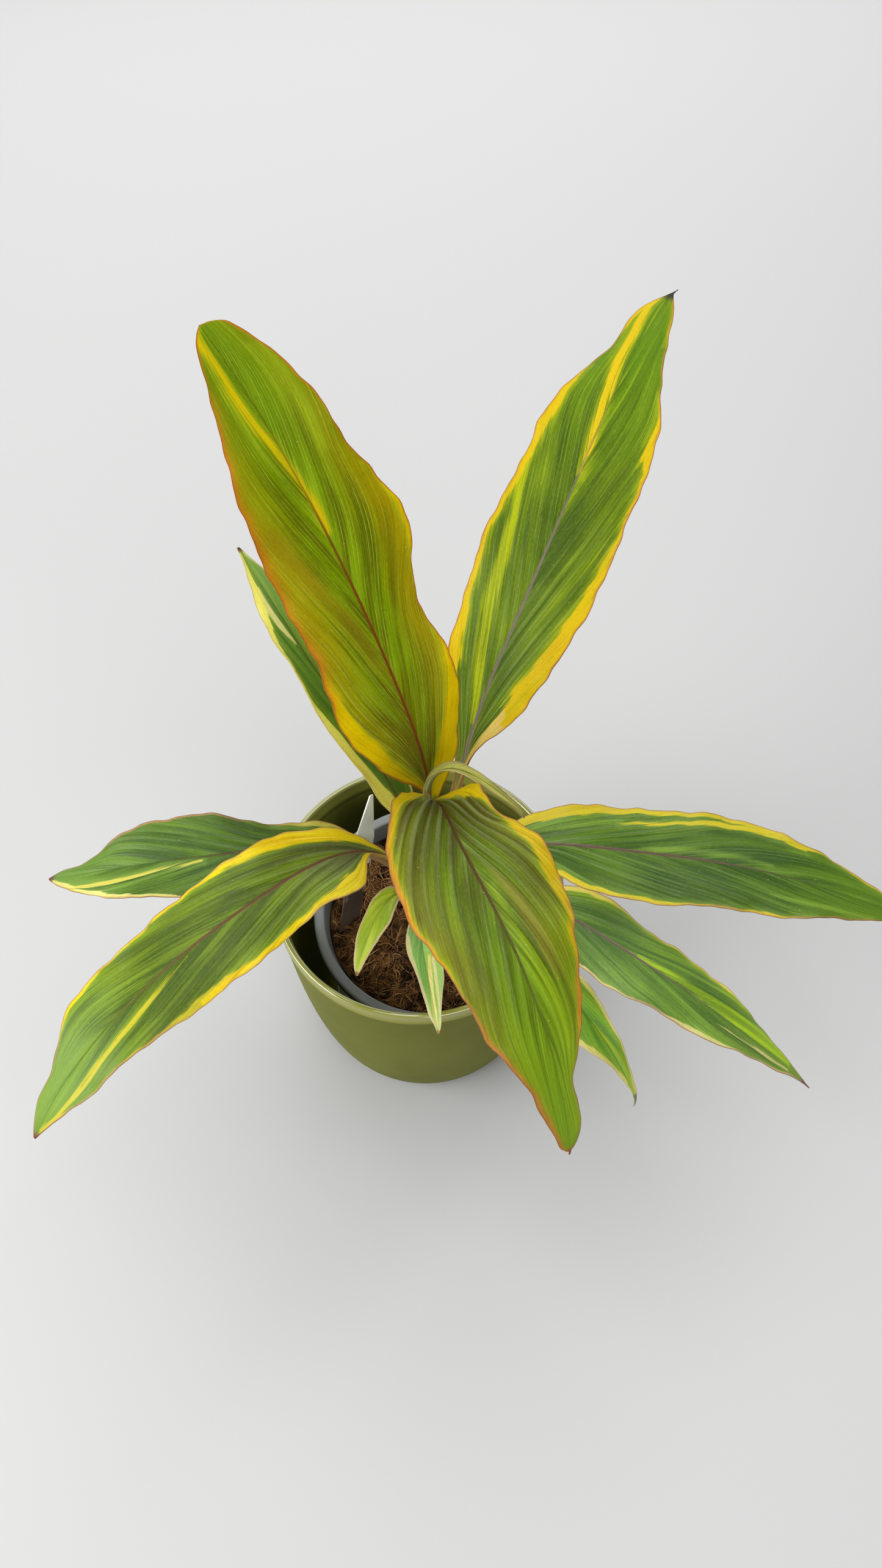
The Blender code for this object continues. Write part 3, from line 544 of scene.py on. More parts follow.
class Tree:
    """A shader tree being written."""

    def __init__(self, made):
        self.made = made

    def node(self, kind, values=(), **settings):
        made = self.made.nodes.new(kind)
        for key, setting in settings.items():
            setattr(made, key, setting)
        return Node(self, made, values)

    def math(self, operation, *values):
        return self.node("ShaderNodeMath", enumerate(values), operation=operation)[0]

    def group(self, group, values):
        return self.node("ShaderNodeGroup", values, node_tree=group)

    def mix(self, share, first, second):
        return self.node("ShaderNodeMix", {0: share, 6: first, 7: second}, data_type="RGBA")[2]

    def attribute(self, name):
        return self.node("ShaderNodeAttribute", attribute_type="GEOMETRY", attribute_name=name)["Fac"]

    def vector(self, *values):
        return self.node("ShaderNodeCombineXYZ", enumerate(values))[0]

    def place(self):
        return self.node("ShaderNodeTexCoord")["Object"]

    def height(self):
        """Above the ground, in millimetres."""
        return self.node("ShaderNodeSeparateXYZ", {0: self.place()})[2] / MM

    def noise(self, vector, scale, detail=2.0, roughness=0.5):
        values = {"Vector": vector, "Scale": scale, "Detail": detail, "Roughness": roughness}
        return self.node("ShaderNodeTexNoise", values)[0]

    def specks(self, place, scale, share, outside, inside):
        """Dots in a share of the cells of an uneven grid, fading between two distances from their middles."""
        cells = self.node("ShaderNodeTexVoronoi", {"Vector": place, "Scale": scale})
        chance = self.node("ShaderNodeSeparateColor", {0: cells["Color"]})[0]
        return cells["Distance"].rise(outside, inside) * chance.math("LESS_THAN", share)

    def bump(self, height):
        """The normal of a surface with the height, in millimetres."""
        return self.node("ShaderNodeBump", {"Height": height, "Distance": MM, "Strength": 1.0})[0]


def new_group(name, inputs, outputs):
    """A node group that takes the inputs, {name: number or colour}, and gives numbers and one "colour"."""
    made = bpy.data.node_groups.new(name, "ShaderNodeTree")
    for label, value in inputs.items():
        kind = "NodeSocketColor" if isinstance(value, tuple) else "NodeSocketFloat"
        made.interface.new_socket(label, in_out="INPUT", socket_type=kind).default_value = value
    for label in outputs:
        kind = "NodeSocketColor" if label == "colour" else "NodeSocketFloat"
        made.interface.new_socket(label, in_out="OUTPUT", socket_type=kind)
    tree = Tree(made)
    return tree, tree.node("NodeGroupInput"), tree.node("NodeGroupOutput")


def new_material(name, values=()):
    """A material, its tree and its Principled shader, whose inputs take the values."""
    made = bpy.data.materials.new(name)
    made.use_nodes = True
    tree = Tree(made.node_tree)
    return made, tree, Node(tree, made.node_tree.nodes["Principled BSDF"], values)


# Leaf surface

def make_vein_group():
    """Fine veins, streaks along them and blotches, from a leaf's own coordinates."""
    tree, given, out = new_group(
        "leaf_veins", {"seed": 0.0, "pleat_veins": PLEAT_VEINS},
        ("line", "thread", "tongue", "streak", "fine_streak", "grain", "blotch", "wave", "crest"))
    vein, length, half = (tree.attribute(name) for name in ("vein", "length", "side"))
    side = 9.0 * half + given["seed"]
    turn = vein * math.tau

    def lines(per_vein, reach, weakest):
        """Thin lines, of uneven strength from one to the next and along each."""
        count = vein * per_vein
        number = tree.vector(count.math("FLOOR"), side, per_vein)
        chance = tree.node("ShaderNodeTexWhiteNoise", {"Vector": number})["Value"]
        broken = tree.noise(tree.vector(count, 0.09 * length, side), 1.0)
        strength = chance.rise(0.1, 0.9, weakest, 1.0) * broken.rise(0.35, 0.65, 0.15, 1.0)
        return (count.math("FRACT") - 0.5).math("ABSOLUTE").rise(reach, 0.25 * reach) * strength

    def streaks(across, along_it, detail, roughness=0.5):
        return tree.noise(tree.vector(across * vein, along_it * length, side), 1.0, detail, roughness)

    out.take({
        "line": lines(1.0, 0.13, 0.05), "thread": lines(2.7, 0.25, 0.0),
        "tongue": streaks(0.9, 0.010, 4.0, 0.65), "streak": streaks(0.33, 0.012, 2.0),
        "fine_streak": streaks(2.3, 0.03, 2.0, 0.6), "grain": streaks(5.0, 0.5, 2.0, 0.6),
        "blotch": streaks(0.08, 0.03, 3.0), "wave": turn.math("SINE"),
        "crest": (turn / given["pleat_veins"] + 2.0 * half).math("SINE")})
    return tree.made


def make_leaf_group(veins):
    """Colour, roughness and height of a striped leaf."""
    inputs = {name: shader_value(value) for name, value in {**LEAF_COLOURS, **LEAF_AMOUNTS, "seed": 0.0}.items()}
    tree, given, out = new_group("striped_leaf", inputs, ("colour", "roughness", "height"))
    vein = tree.group(veins, {name: given[name] for name in ("seed", "pleat_veins")})
    share, edge, rib, middle, under = (tree.attribute(name) for name in ("share", "edge", "rib", "middle", "under"))
    place = tree.place()
    tongue, streak, fine, blotch = (vein[name] - 0.5 for name in ("tongue", "streak", "fine_streak", "blotch"))
    streaks = 1.25 * streak + 0.8 * fine + 0.6 * tongue
    tone = streaks * given["green_streaks"] + (0.75 * blotch + 0.5)
    ragged_share = 0.3 * streaks + share
    # Where the painted sheen goes: on the pleat crests, towards the blade's base
    crest = vein["crest"].rise(0.0, 1.0) * share.rise(0.65, 0.1) * vein["streak"].rise(0.35, 0.6, 0.3, 1.0)
    lined = vein["line"].math("MAXIMUM", 0.45 * vein["thread"])

    # Marks end raggedly, less so near the margin
    shift = (4.0 * streak + 2.5 * fine + 7.0 * tongue) * (edge.rise(0.0, 6.0, 0.35, 1.0) * given["raggedness"])

    def mask(kind, softer=1.0):
        soft = given["softness"] * softer
        return (tree.attribute(kind) + shift).rise(soft * -1.0, soft)

    def painted(colour, *layers):
        """The colour under layers of (mask, colour or name of a given one)."""
        for cover, over in layers:
            colour = tree.mix(cover, colour, given[over] if isinstance(over, str) else over)
        return colour

    washed = (0.8 * vein["thread"]).math("MAXIMUM", streaks.rise(0.0, -0.4))
    fading = (share - given["rib_end"]).rise(0.15, -0.3)
    dry = (0.03 * streak + share - given["dry_from"]).rise(-0.008, 0.008)
    colour = painted(
        given["deep_green"],
        (tone.rise(0.26, 0.72), "green"),
        ((0.6 * streaks + middle).rise(0.25, 1.0) * given["edge_amount"], "edge_green"),
        (0.8 * ragged_share.rise(0.6, 0.95), "tip_green"),
        # Darker and browner towards the blade's base: partly the leaf's own bronze, partly painted shade at the crown
        (0.9 * ragged_share.rise(given["base_reach"], 0.0), "base"),
        (0.3 * (0.8 * blotch + streaks).rise(0.16, 0.42), "lime"),
        # Painted sheen on the pleat crests
        (crest * given["sheen"], "painted_sheen"),
        (lined * given["vein_amount"], "vein"),
        # A halo round the yellow, and the marks
        (0.4 * (tree.attribute("yellow") + 1.6 * shift).rise(-3.0, -0.2), "lime"),
        (mask("lime", 3.0) * streaks.rise(-0.25, 0.2, 0.35, 0.85), "lime"),
        (0.6 * mask("tan", 3.0), "tan"),
        (mask("pale"), painted(given["pale"], (0.5 * vein["thread"], "lime"))),
        (mask("yellow"), painted(
            given["yellow"], (tone.rise(0.5, 0.95), "gold"), (washed * given["margin_lines"], "edge_green"))),
        (0.75 * mask("blush", 2.5), "blush"),
        # Stalk, midrib and rim
        (share.rise(0.03, -0.06), painted(given["stalk"], (0.7 * middle.rise(0.75, 0.3), "lime"))),
        (rib.rise(1.0, 0.5) * share.rise(-0.04, 0.05, 0.0, 0.9) * fading, "rib"),
        ((1.6 * streaks + edge).rise(1.2, 0.2) * given["rim_amount"], "rim"),
        (0.6 * edge.rise(0.40, 0.10), "margin"),
        # Grain, specks, the dry tip and the underside
        (vein["grain"].rise(0.55, 0.25, 0.0, 0.22), srgb(*LEAF_SHADE)),
        (vein["grain"].rise(0.5, 0.75, 0.0, 0.14), "lime"),
        (0.45 * tree.specks(place, 380.0, 0.07, 0.13, 0.05), "pale"),
        (dry, "dry"),
        (0.28 * under, srgb(*LEAF_UNDERSIDE)))
    out.take({
        "colour": colour,
        "roughness": 0.22 * tree.noise(place, 90.0, 3.0) + 0.34 + 0.18 * under + 0.3 * dry,
        "height": (
            0.04 * lined + 0.10 * vein["fine_streak"] + 0.16 * vein["tongue"]
            + vein["wave"] * (share.rise(1.0, 0.1, 0.25, 1.0) * given["ribbing"])
            + 0.02 * tree.noise(place, 900.0) + -0.10 * rib.rise(1.1, 0.3))})
    return tree.made


def leaf_material(name, seed, leaf_group):
    looks = {key: shader_value(value) for key, value in LEAF_LOOKS[name].items()}
    made, tree, shader = new_material(f"{name}_surface", {"Specular IOR Level": looks.pop("shine", LEAF_SHINE)})
    leaf = tree.group(leaf_group, {**looks, "seed": float(seed)})
    shader.take({"Base Color": leaf["colour"], "Roughness": leaf["roughness"], "Normal": tree.bump(leaf["height"])})
    through = tree.node("ShaderNodeBsdfTranslucent", {"Color": leaf["colour"]})
    both = tree.node("ShaderNodeMixShader", {0: LEAF_GLOW, 1: shader[0], 2: through[0]})
    Node(tree, made.node_tree.nodes["Material Output"], {"Surface": both[0]})
    return made


# Materials of the pots, soil, stem and label

def make_mottle_group():
    """Uneven colour over a surface: broad patches, fine grain and sparse specks. MOTTLES lists its inputs."""
    colours = dict.fromkeys(("light", "dark", "speck"), srgb(0, 0, 0))
    amounts = dict.fromkeys(("patch_scale", "grain_scale", "grain", "specks", "speck_scale"), 1.0)
    tree, given, out = new_group("uneven_surface", {**colours, **amounts}, ("colour", "patches", "grain"))
    place = tree.place()
    patches = tree.noise(place, given["patch_scale"], 3.0)
    grain = tree.noise(place, given["grain_scale"], 2.0, 0.6)
    share = patches + (grain - 0.5) * given["grain"]
    colour = tree.mix(share.rise(0.35, 0.65), given["dark"], given["light"])
    specks = tree.specks(place, given["speck_scale"], given["specks"], 0.32, 0.18)
    out.take({"colour": tree.mix(specks, colour, given["speck"]), "patches": patches, "grain": grain})
    return tree.made


def mottled(group, name, values=()):
    """A material of uneven colour, its tree and shader, and what the group gives."""
    made, tree, shader = new_material(f"{name}_surface", values)
    looks = tree.group(group, enumerate(map(shader_value, MOTTLES[name])))
    shader.take({"Base Color": looks["colour"]})
    return made, tree, shader, looks


def glaze_material(mottle):
    """Olive glaze, paler where it ran thin over the lip band's edges, with painted shade in a dark line just under
    the band.
    """
    made, tree, shader, looks = mottled(
        mottle, "olive_glaze", {"Specular IOR Level": 0.0, "Coat Roughness": 0.11, "Coat IOR": 1.75})
    above = tree.height() - (CACHE_HEIGHT - LIP_BAND_HEIGHT)
    wavy = 0.8 * looks["patches"] + above
    colour = tree.mix(wavy.rise(1.0, 3.5, 0.0, 0.6), looks["colour"], srgb(*THIN_GLAZE))
    # Painted shade in the crease just under the proud lip band
    shade_under_band = wavy.rise(-1.6, 0.2) * wavy.rise(1.4, 0.4)
    waves = tree.noise(tree.place(), 95.0)
    shader.take({
        "Base Color": tree.mix(0.75 * shade_under_band, colour, srgb(*GLAZE_SHADE_UNDER_BAND)),
        "Roughness": 0.12 * looks["patches"] + 0.16,
        "Coat Weight": above.rise(2.5, 7.5, 0.14, 1.0),
        "Normal": tree.bump(0.012 * looks["grain"] + 0.16 * waves)})
    return made


def plastic_material(mottle):
    """Thin grey moulded plastic with a satin skin."""
    made, tree, shader, looks = mottled(mottle, "grey_plastic")
    shader.take({"Roughness": 0.2 * looks["patches"] + 0.32, "Normal": tree.bump(0.03 * looks["grain"])})
    return made


def soil_material(mottle):
    """Crumbly dark potting soil, with painted shade in its hollows."""
    made, tree, shader, looks = mottled(mottle, "coir_soil", {"Roughness": 0.95, "Specular IOR Level": 0.1})
    # Painted shade: darker where the soil's lumps dip into hollows
    hollow_shade = tree.attribute("lumps").rise(1.0, -1.2, 0.0, 0.92)
    shader.take({
        "Base Color": tree.mix(hollow_shade, looks["colour"], srgb(*SOIL_HOLLOW_SHADE)),
        "Normal": tree.bump(1.2 * looks["patches"] + 0.5 * looks["grain"])})
    return made


def fibre_material(mottle):
    """Coconut fibres from dark to light brown."""
    made, tree, shader, looks = mottled(mottle, "coir_fibre", {"Roughness": 0.8, "Specular IOR Level": 0.2})
    tint = tree.attribute("tint")
    # The tint holds each tuft's own colour, and painted shade for tufts lying in the soil's hollows
    colour = tree.mix(tint.rise(0.45, 0.0), looks["colour"], srgb(*DARK_FIBRE))
    colour = tree.mix(tint.rise(0.65, 1.0, 0.0, 0.6), colour, srgb(*LIGHT_FIBRE))
    shader.take({"Base Color": colour, "Normal": tree.bump(0.05 * looks["grain"])})
    return made


def cane_material(mottle):
    """A young cane, mottled brown."""
    made, tree, shader, looks = mottled(mottle, "cane", {"Roughness": 0.6})
    shader.take({"Normal": tree.bump(0.15 * looks["grain"])})
    return made


def label_material(mottle):
    """Pale grey plastic, with soil stuck to it in patches towards its foot."""
    made, tree, shader, looks = mottled(mottle, "label_plastic")
    above = tree.height() - LABEL_FOOT[2]
    soiled = (60 * tree.noise(tree.place(), 150.0, 3.0) + above + 10 * looks["grain"]).rise(66, 56, 0.0, 0.97)
    earth = tree.mix(looks["patches"], *(srgb(*colour) for colour in STUCK_EARTH))
    shader.take({
        "Base Color": tree.mix(soiled, looks["colour"], earth),
        "Roughness": 0.15 * looks["patches"] + 0.38 + 0.5 * soiled,
        "Normal": tree.bump(looks["grain"] * (0.5 * soiled + 0.03))})
    return made


# Objects

def add_mesh(name, primitive, **settings):
    bpy.ops.object.select_all(action="DESELECT")
    primitive(**settings)
    obj = bpy.context.object
    obj.name = obj.data.name = name
    return obj


def select_only(obj):
    bpy.ops.object.select_all(action="DESELECT")
    obj.select_set(True)
    bpy.context.view_layer.objects.active = obj


def settle(obj):
    """Moves the object's place into its mesh."""
    select_only(obj)
    bpy.ops.object.transform_apply(location=True, rotation=True, scale=True)


def modify(obj, kind, **settings):
    """Adds a modifier and applies it."""
    modifier = obj.modifiers.new(kind, kind)
    for key, value in settings.items():
        setattr(modifier, key, value)
    bpy.context.view_layer.objects.active = obj
    bpy.ops.object.modifier_apply(modifier=modifier.name)


def set_attribute(mesh, name, values):
    mesh.attributes.new(name, "FLOAT", "POINT").data.foreach_set("value", values)


def new_object(name, data):
    obj = bpy.data.objects.new(name, data)
    bpy.context.scene.collection.objects.link(obj)
    return obj


def finish_piece(obj, node, material, smooth_under=40):
    """Smooths the piece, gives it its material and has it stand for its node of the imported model."""
    select_only(obj)
    bpy.ops.object.shade_smooth_by_angle(angle=math.radians(smooth_under))
    obj.data.materials.clear()
    obj.data.materials.append(material)
    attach(obj, "root")
    if node:
        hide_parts(node)


def rounded(corners, steps=5):
    """An outline of (radius, height, rounding) corners, with an arc in place of each rounded one."""
    outline = []
    for i, (r, z, size) in enumerate(corners):
        if not size:
            outline.append((r, z))
            continue
        here = np.array((r, z))
        ends = []
        for other in (corners[i - 1], corners[i + 1]):
            away = np.array(other[:2]) - here
            ends.append(here + away / np.linalg.norm(away) * size)
        for t in np.linspace(0, 1, steps + 1):
            outline.append(tuple((1 - t) ** 2 * ends[0] + 2 * t * (1 - t) * here + t * t * ends[1]))
    return outline


def turned(name, corners, sides):
    """A circle drawn out ring by ring along the outline of the corners, with both ends filled."""
    outline = rounded(corners)
    start, level = outline[0]
    obj = add_mesh(
        name, bpy.ops.mesh.primitive_circle_add,
        vertices=sides, radius=start * MM, fill_type="NOTHING", location=(0, 0, level * MM))
    bpy.ops.object.transform_apply(location=True)
    bpy.ops.object.mode_set(mode="EDIT")
    bpy.ops.mesh.select_all(action="SELECT")
    for (r0, z0), (r1, z1) in zip(outline, outline[1:]):
        bpy.ops.mesh.extrude_region_move(TRANSFORM_OT_translate={"value": (0, 0, (z1 - z0) * MM)})
        bpy.ops.transform.resize(value=(r1 / r0, r1 / r0, 1), center_override=(0, 0, z1 * MM))
    bpy.ops.mesh.select_all(action="SELECT")
    bpy.ops.mesh.fill_holes(sides=0)
    bpy.ops.mesh.select_all(action="SELECT")
    bpy.ops.mesh.normals_make_consistent(inside=False)
    bpy.ops.object.mode_set(mode="OBJECT")
    return obj


# Cachepot and nursery pot

def bowl_radius(z):
    """Outside radius of the bowl, without its lip band, at a height."""
    drop = 1 - z / CACHE_HEIGHT
    widening = CACHE_RADIUS - LIP_BAND_PROUD - CACHE_BASE_RADIUS
    return CACHE_BASE_RADIUS + widening * (1 - drop**CACHE_ROUNDNESS) ** (1 / CACHE_ROUNDNESS)


def make_cachepot():
    top, band_foot = CACHE_HEIGHT, CACHE_HEIGHT - LIP_BAND_HEIGHT
    inner = CACHE_RADIUS - CACHE_WALL
    heights = [band_foot * (1 - math.cos(turn)) for turn in np.linspace(0, math.pi / 2, BOWL_RINGS + 1)[1:]]
    floor_edge = bowl_radius(CACHE_FLOOR) - CACHE_WALL
    return turned("cachepot_glazed", [
        (HUB_RADIUS, 0, 0), (CACHE_BASE_RADIUS - 1.5, 0, 0), (CACHE_BASE_RADIUS - 0.3, 0.15, 0),
        *((bowl_radius(z), z, 0) for z in heights if z > 0.6),
        (CACHE_RADIUS, band_foot + 0.9, 0.6), (CACHE_RADIUS, top - 0.1, LIP_ROUNDING),
        (inner + 0.4, top, LIP_ROUNDING), (inner, top - 3.5, 0),
        *((bowl_radius(z) - CACHE_WALL, z, 0) for z in reversed(heights) if CACHE_FLOOR + 5 < z < top - 6),
        (floor_edge, CACHE_FLOOR, 4.5), (HUB_RADIUS, CACHE_FLOOR, 0)], CACHE_SIDES)


def nursery_frame():
    """Leaning frame of the nursery pot and soil, with its origin at the nursery pot's base centre."""
    lean = math.radians(NURSERY_LEAN)
    z = CACHE_FLOOR + SEAT_GAP + NURSERY_BASE_RADIUS * math.sin(lean)
    return Matrix.Translation(Vector((*NURSERY_FOOT, z)) * MM) @ Euler((lean, 0, 0)).to_matrix().to_4x4()


def nursery_radius(z):
    """Outside radius of the tapered wall at a height in the leaning frame."""
    top = NURSERY_RADIUS - NURSERY_RIM_WIDTH + NURSERY_WALL
    return NURSERY_BASE_RADIUS + (top - NURSERY_BASE_RADIUS) * z / NURSERY_HEIGHT


def make_nursery_pot():
    top, wall, outer = NURSERY_HEIGHT, NURSERY_WALL, NURSERY_RADIUS
    skirt, under_rim = top - NURSERY_RIM_HEIGHT, top - 2 * wall
    pot = turned("nursery_pot_moulded", [
        (HUB_RADIUS, 0, 0), (NURSERY_BASE_RADIUS, 0, 1.8),
        *((nursery_radius(z), z, 0) for z in np.linspace(6, top - 3 * wall, 12)),
        (nursery_radius(under_rim), under_rim, 0.4), (outer - wall, under_rim, 0.5),
        (outer - wall, skirt, 0.2), (outer, skirt, 0.4), (outer, top, 1.9), (outer - NURSERY_RIM_WIDTH, top, 1.2),
        *((nursery_radius(z) - wall, z, 0) for z in np.linspace(top - 3 * wall, 4 * wall, 12)),
        (nursery_radius(wall) - wall, wall, 1.5), (HUB_RADIUS, wall, 0)], NURSERY_SIDES)
    pot.matrix_world = nursery_frame()
    for i in range(DRAIN_HOLES):
        turn = math.tau * i / DRAIN_HOLES
        place = Vector((DRAIN_CIRCLE * math.cos(turn), DRAIN_CIRCLE * math.sin(turn), 0)) * MM
        cutter = add_mesh(
            "drain_cutter", bpy.ops.mesh.primitive_cylinder_add,
            vertices=DRAIN_SIDES, radius=DRAIN_RADIUS * MM, depth=DRAIN_CUT * MM)
        cutter.matrix_world = nursery_frame() @ Matrix.Translation(place)
        modify(pot, "BOOLEAN", object=cutter, operation="DIFFERENCE")
        bpy.data.objects.remove(cutter)
    settle(pot)
    return pot


# Soil, stem and label

def soil_edge_radius():
    return nursery_radius(NURSERY_HEIGHT - SOIL_BELOW_RIM) - NURSERY_WALL - 2 * SEAT_GAP


def soil_height(x, y):
    """Height and lumpiness of the soil's surface at a place, all in the leaning frame."""
    edge = soil_edge_radius()
    in_from_edge = edge - math.hypot(x, y)
    inward = min(max(in_from_edge / edge, 0), 1)
    fade = min(max(in_from_edge / SOIL_EDGE_FADE, 0), 1)
    lumps = sum(height * noise.noise(Vector((x, y, 0)) / size) for size, height in SOIL_LUMPS)
    return NURSERY_HEIGHT - SOIL_BELOW_RIM + SOIL_MOUND * inward + (lumps - 0.5) * fade, lumps


def make_soil():
    side_gap = NURSERY_WALL + 2 * SEAT_GAP
    floor, level = NURSERY_WALL + SEAT_GAP, NURSERY_HEIGHT - SOIL_BELOW_RIM
    soil = turned("soil_bed", [
        (HUB_RADIUS, floor, 0), (nursery_radius(floor) - side_gap - 1, floor, 1),
        *((nursery_radius(z) - side_gap, z, 0) for z in np.linspace(3 * floor, level - 1, 8)),
        *((r, level, 0) for r in np.linspace(soil_edge_radius(), 2.0, SOIL_RINGS))], NURSERY_SIDES)
    for vert in soil.data.vertices:
        x, y, z = vert.co / MM
        if z > level - 0.5:
            vert.co.z = soil_height(x, y)[0] * MM
    set_attribute(soil.data, "lumps", [soil_height(*(vert.co / MM).xy)[1] for vert in soil.data.vertices])
    soil.matrix_world = nursery_frame()
    settle(soil)
    return soil


def make_soil_fibres():
    """Coconut fibres in matted tufts on the soil, each combed one way."""
    seeded = random.Random(FIBRE_SEED)
    strands = bpy.data.curves.new("soil_fibres", "CURVE")
    strands.dimensions = "3D"
    strands.bevel_depth = STRAND_THICK * MM
    strands.bevel_resolution = 0
    tints = []
    edge = soil_edge_radius() - 0.8
    spans = STRAND_POINTS - 1
    for _ in range(SOIL_TUFTS):
        reach, side = (edge - 1) * seeded.random() ** 0.42, seeded.uniform(0, math.tau)
        middle = reach * math.cos(side), reach * math.sin(side)
        tint, spread, combed = seeded.uniform(*TUFT_TINT), seeded.uniform(*TUFT_SPREAD), seeded.uniform(0, math.tau)
        for _ in range(STRANDS_IN_TUFT):
            x, y = seeded.gauss(middle[0], spread), seeded.gauss(middle[1], spread)
            heading = combed + seeded.gauss(0, 0.5)
            length, bend = seeded.uniform(*STRAND_LENGTH), seeded.uniform(-STRAND_BEND, STRAND_BEND)
            lift, thick = seeded.uniform(*STRAND_LIFT), 0.5 + 3 * seeded.random() ** 2.5
            points = []
            for j in range(STRAND_POINTS):
                if not STEM_RADIUS + 1 <= math.hypot(x, y) <= edge:
                    break
                arch = lift * math.sin(math.pi * j / spans) * seeded.uniform(0.5, 1.3)
                points.append((x, y, soil_height(x, y)[0] + 0.1 + arch))
                x, y = x + length / spans * math.cos(heading), y + length / spans * math.sin(heading)
                heading += bend / spans + seeded.uniform(-0.25, 0.25)
            if len(points) < 3:
                continue
            strand = strands.splines.new("POLY")
            strand.points.add(len(points) - 1)
            for j, (point, place) in enumerate(zip(strand.points, points)):
                point.co = (*(Vector(place) * MM), 1)
                point.radius = thick * (0.5 if j in (0, len(points) - 1) else 1)
            # Painted shade: fibres lying in the soil's hollows come out darker than their tuft's own tint
            shade = tint + seeded.gauss(0, 0.15) + 0.18 * soil_height(*middle)[1]
            tints += [min(max(shade, 0), 1)] * (4 * len(points))
    fibres = new_object("soil_fibres", strands)
    fibres.matrix_world = nursery_frame()
    select_only(fibres)
    bpy.ops.object.convert(target="MESH")
    fibres = bpy.context.object
    settle(fibres)
    assert len(fibres.data.vertices) == len(tints)
    set_attribute(fibres.data, "tint", tints)
    return fibres


def stem_foot():
    """Where the middle of the stem leaves the soil, in metres."""
    return nursery_frame() @ Vector((0, 0, (NURSERY_HEIGHT - SOIL_BELOW_RIM + SOIL_MOUND) * MM))


def stem_centre(z):
    """Middle of the stem at a height: it grows from the soil straight towards the crown."""
    foot = stem_foot() / MM
    return foot.lerp(Vector(CROWN), (z - foot.z) / (CROWN[2] - foot.z))


def stem_radius(z):
    foot = stem_foot().z / MM
    share = min(max((z - foot) / (STEM_TOP_HEIGHT - foot), 0), 1)
    return STEM_RADIUS + (STEM_TOP_RADIUS - STEM_RADIUS) * share


def make_stem():
    """A straight cane with its leaf scars, then leaned over to where it grows."""
    foot = (stem_foot() / MM).z
    rise = STEM_TOP_HEIGHT - foot
    corners = [(1.5, -STEM_SUNK, 0), (STEM_RADIUS, -STEM_SUNK, 0.5), (STEM_RADIUS, 2, 0)]
    step = (rise - 5) / STEM_SCARS
    for i in range(STEM_SCARS):
        z = 2.5 + step * i
        radius = stem_radius(foot + z)
        corners += [(radius - STEM_SCAR, z, 0), (radius - 0.1, z + 0.25 * step, 0), (radius, z + 0.8 * step, 0)]
        corners += [(radius - 0.1, z + 0.93 * step, 0)]
    corners += [(STEM_TOP_RADIUS - STEM_SCAR, rise - 1.5, 0), (3.0, rise - 0.3, 0), (1.5, rise, 0)]
    stem = turned("stem_cane", corners, STEM_SIDES)
    for vert in stem.data.vertices:
        centre = stem_centre(foot + vert.co.z / MM)
        vert.co = Vector((vert.co.x, vert.co.y, 0)) + centre * MM
    return stem


def label_frame():
    """Origin at the label's middle where it enters the soil, Z along the label, X across it."""
    foot, tip = Vector(LABEL_FOOT), Vector(LABEL_TIP)
    up = (tip - foot).normalized()
    turn = math.radians(LABEL_TURN)
    face = Vector((math.sin(turn), -math.cos(turn), 0))
    across = -face.cross(up).normalized()
    return Matrix.Translation(foot * MM) @ Matrix((across, up.cross(across), up)).transposed().to_4x4()


def make_label():
    half, height = LABEL_WIDTH / 2, (Vector(LABEL_TIP) - Vector(LABEL_FOOT)).length
    label = add_mesh("label_stick", bpy.ops.mesh.primitive_cube_add, size=1)
    for vert in label.data.vertices:
        x, y, z = vert.co * 2
        vert.co = Vector((half * x, LABEL_THICK / 2 * y, height - LABEL_POINT if z > 0 else -LABEL_SUNK)) * MM
    for part in (label.data.vertices, label.data.edges, label.data.polygons):
        part.foreach_set("select", [False] * len(part))
    for face in label.data.polygons:
        face.select = face.normal.z > 0.9
    bpy.ops.object.mode_set(mode="EDIT")
    bpy.ops.mesh.select_mode(type="FACE")
    bpy.ops.mesh.extrude_region_move(TRANSFORM_OT_translate={"value": (0, 0, LABEL_POINT * MM)})
    bpy.ops.transform.resize(value=(LABEL_TIP_HALF / half, 1, 1), center_override=(0, 0, height * MM))
    bpy.ops.object.mode_set(mode="OBJECT")
    modify(label, "BEVEL", width=LABEL_EDGE * MM, segments=2, limit_method="ANGLE")
    label.matrix_world = label_frame()
    settle(label)
    return label


# Leaves. Along a leaf, s is the length from its stalk's foot and b the share of its blade, from 0 at the blade's base
# to 1 at its tip. Across it, u goes from -1 at the left margin to 1 at the right one.

def along(stations, values, s):
    """A smooth curve through the values at their stations, read at s."""
    stations, values = np.asarray(stations, float), np.asarray(values, float)
    slope = np.gradient(values, stations)
    s = np.clip(s, stations[0], stations[-1])
    i = np.clip(np.searchsorted(stations, s, side="right") - 1, 0, len(stations) - 2)
    span = stations[i + 1] - stations[i]
    t = (s - stations[i]) / span
    return (
        (1 + 2 * t) * (1 - t) ** 2 * values[i] + t * (1 - t) ** 2 * span * slope[i]
        + t * t * (3 - 2 * t) * values[i + 1] + t * t * (t - 1) * span * slope[i + 1])


def ramp(value, full):
    """0 up to value 0, then in proportion, and 1 from value full on."""
    return np.clip(value / full, 0, 1)


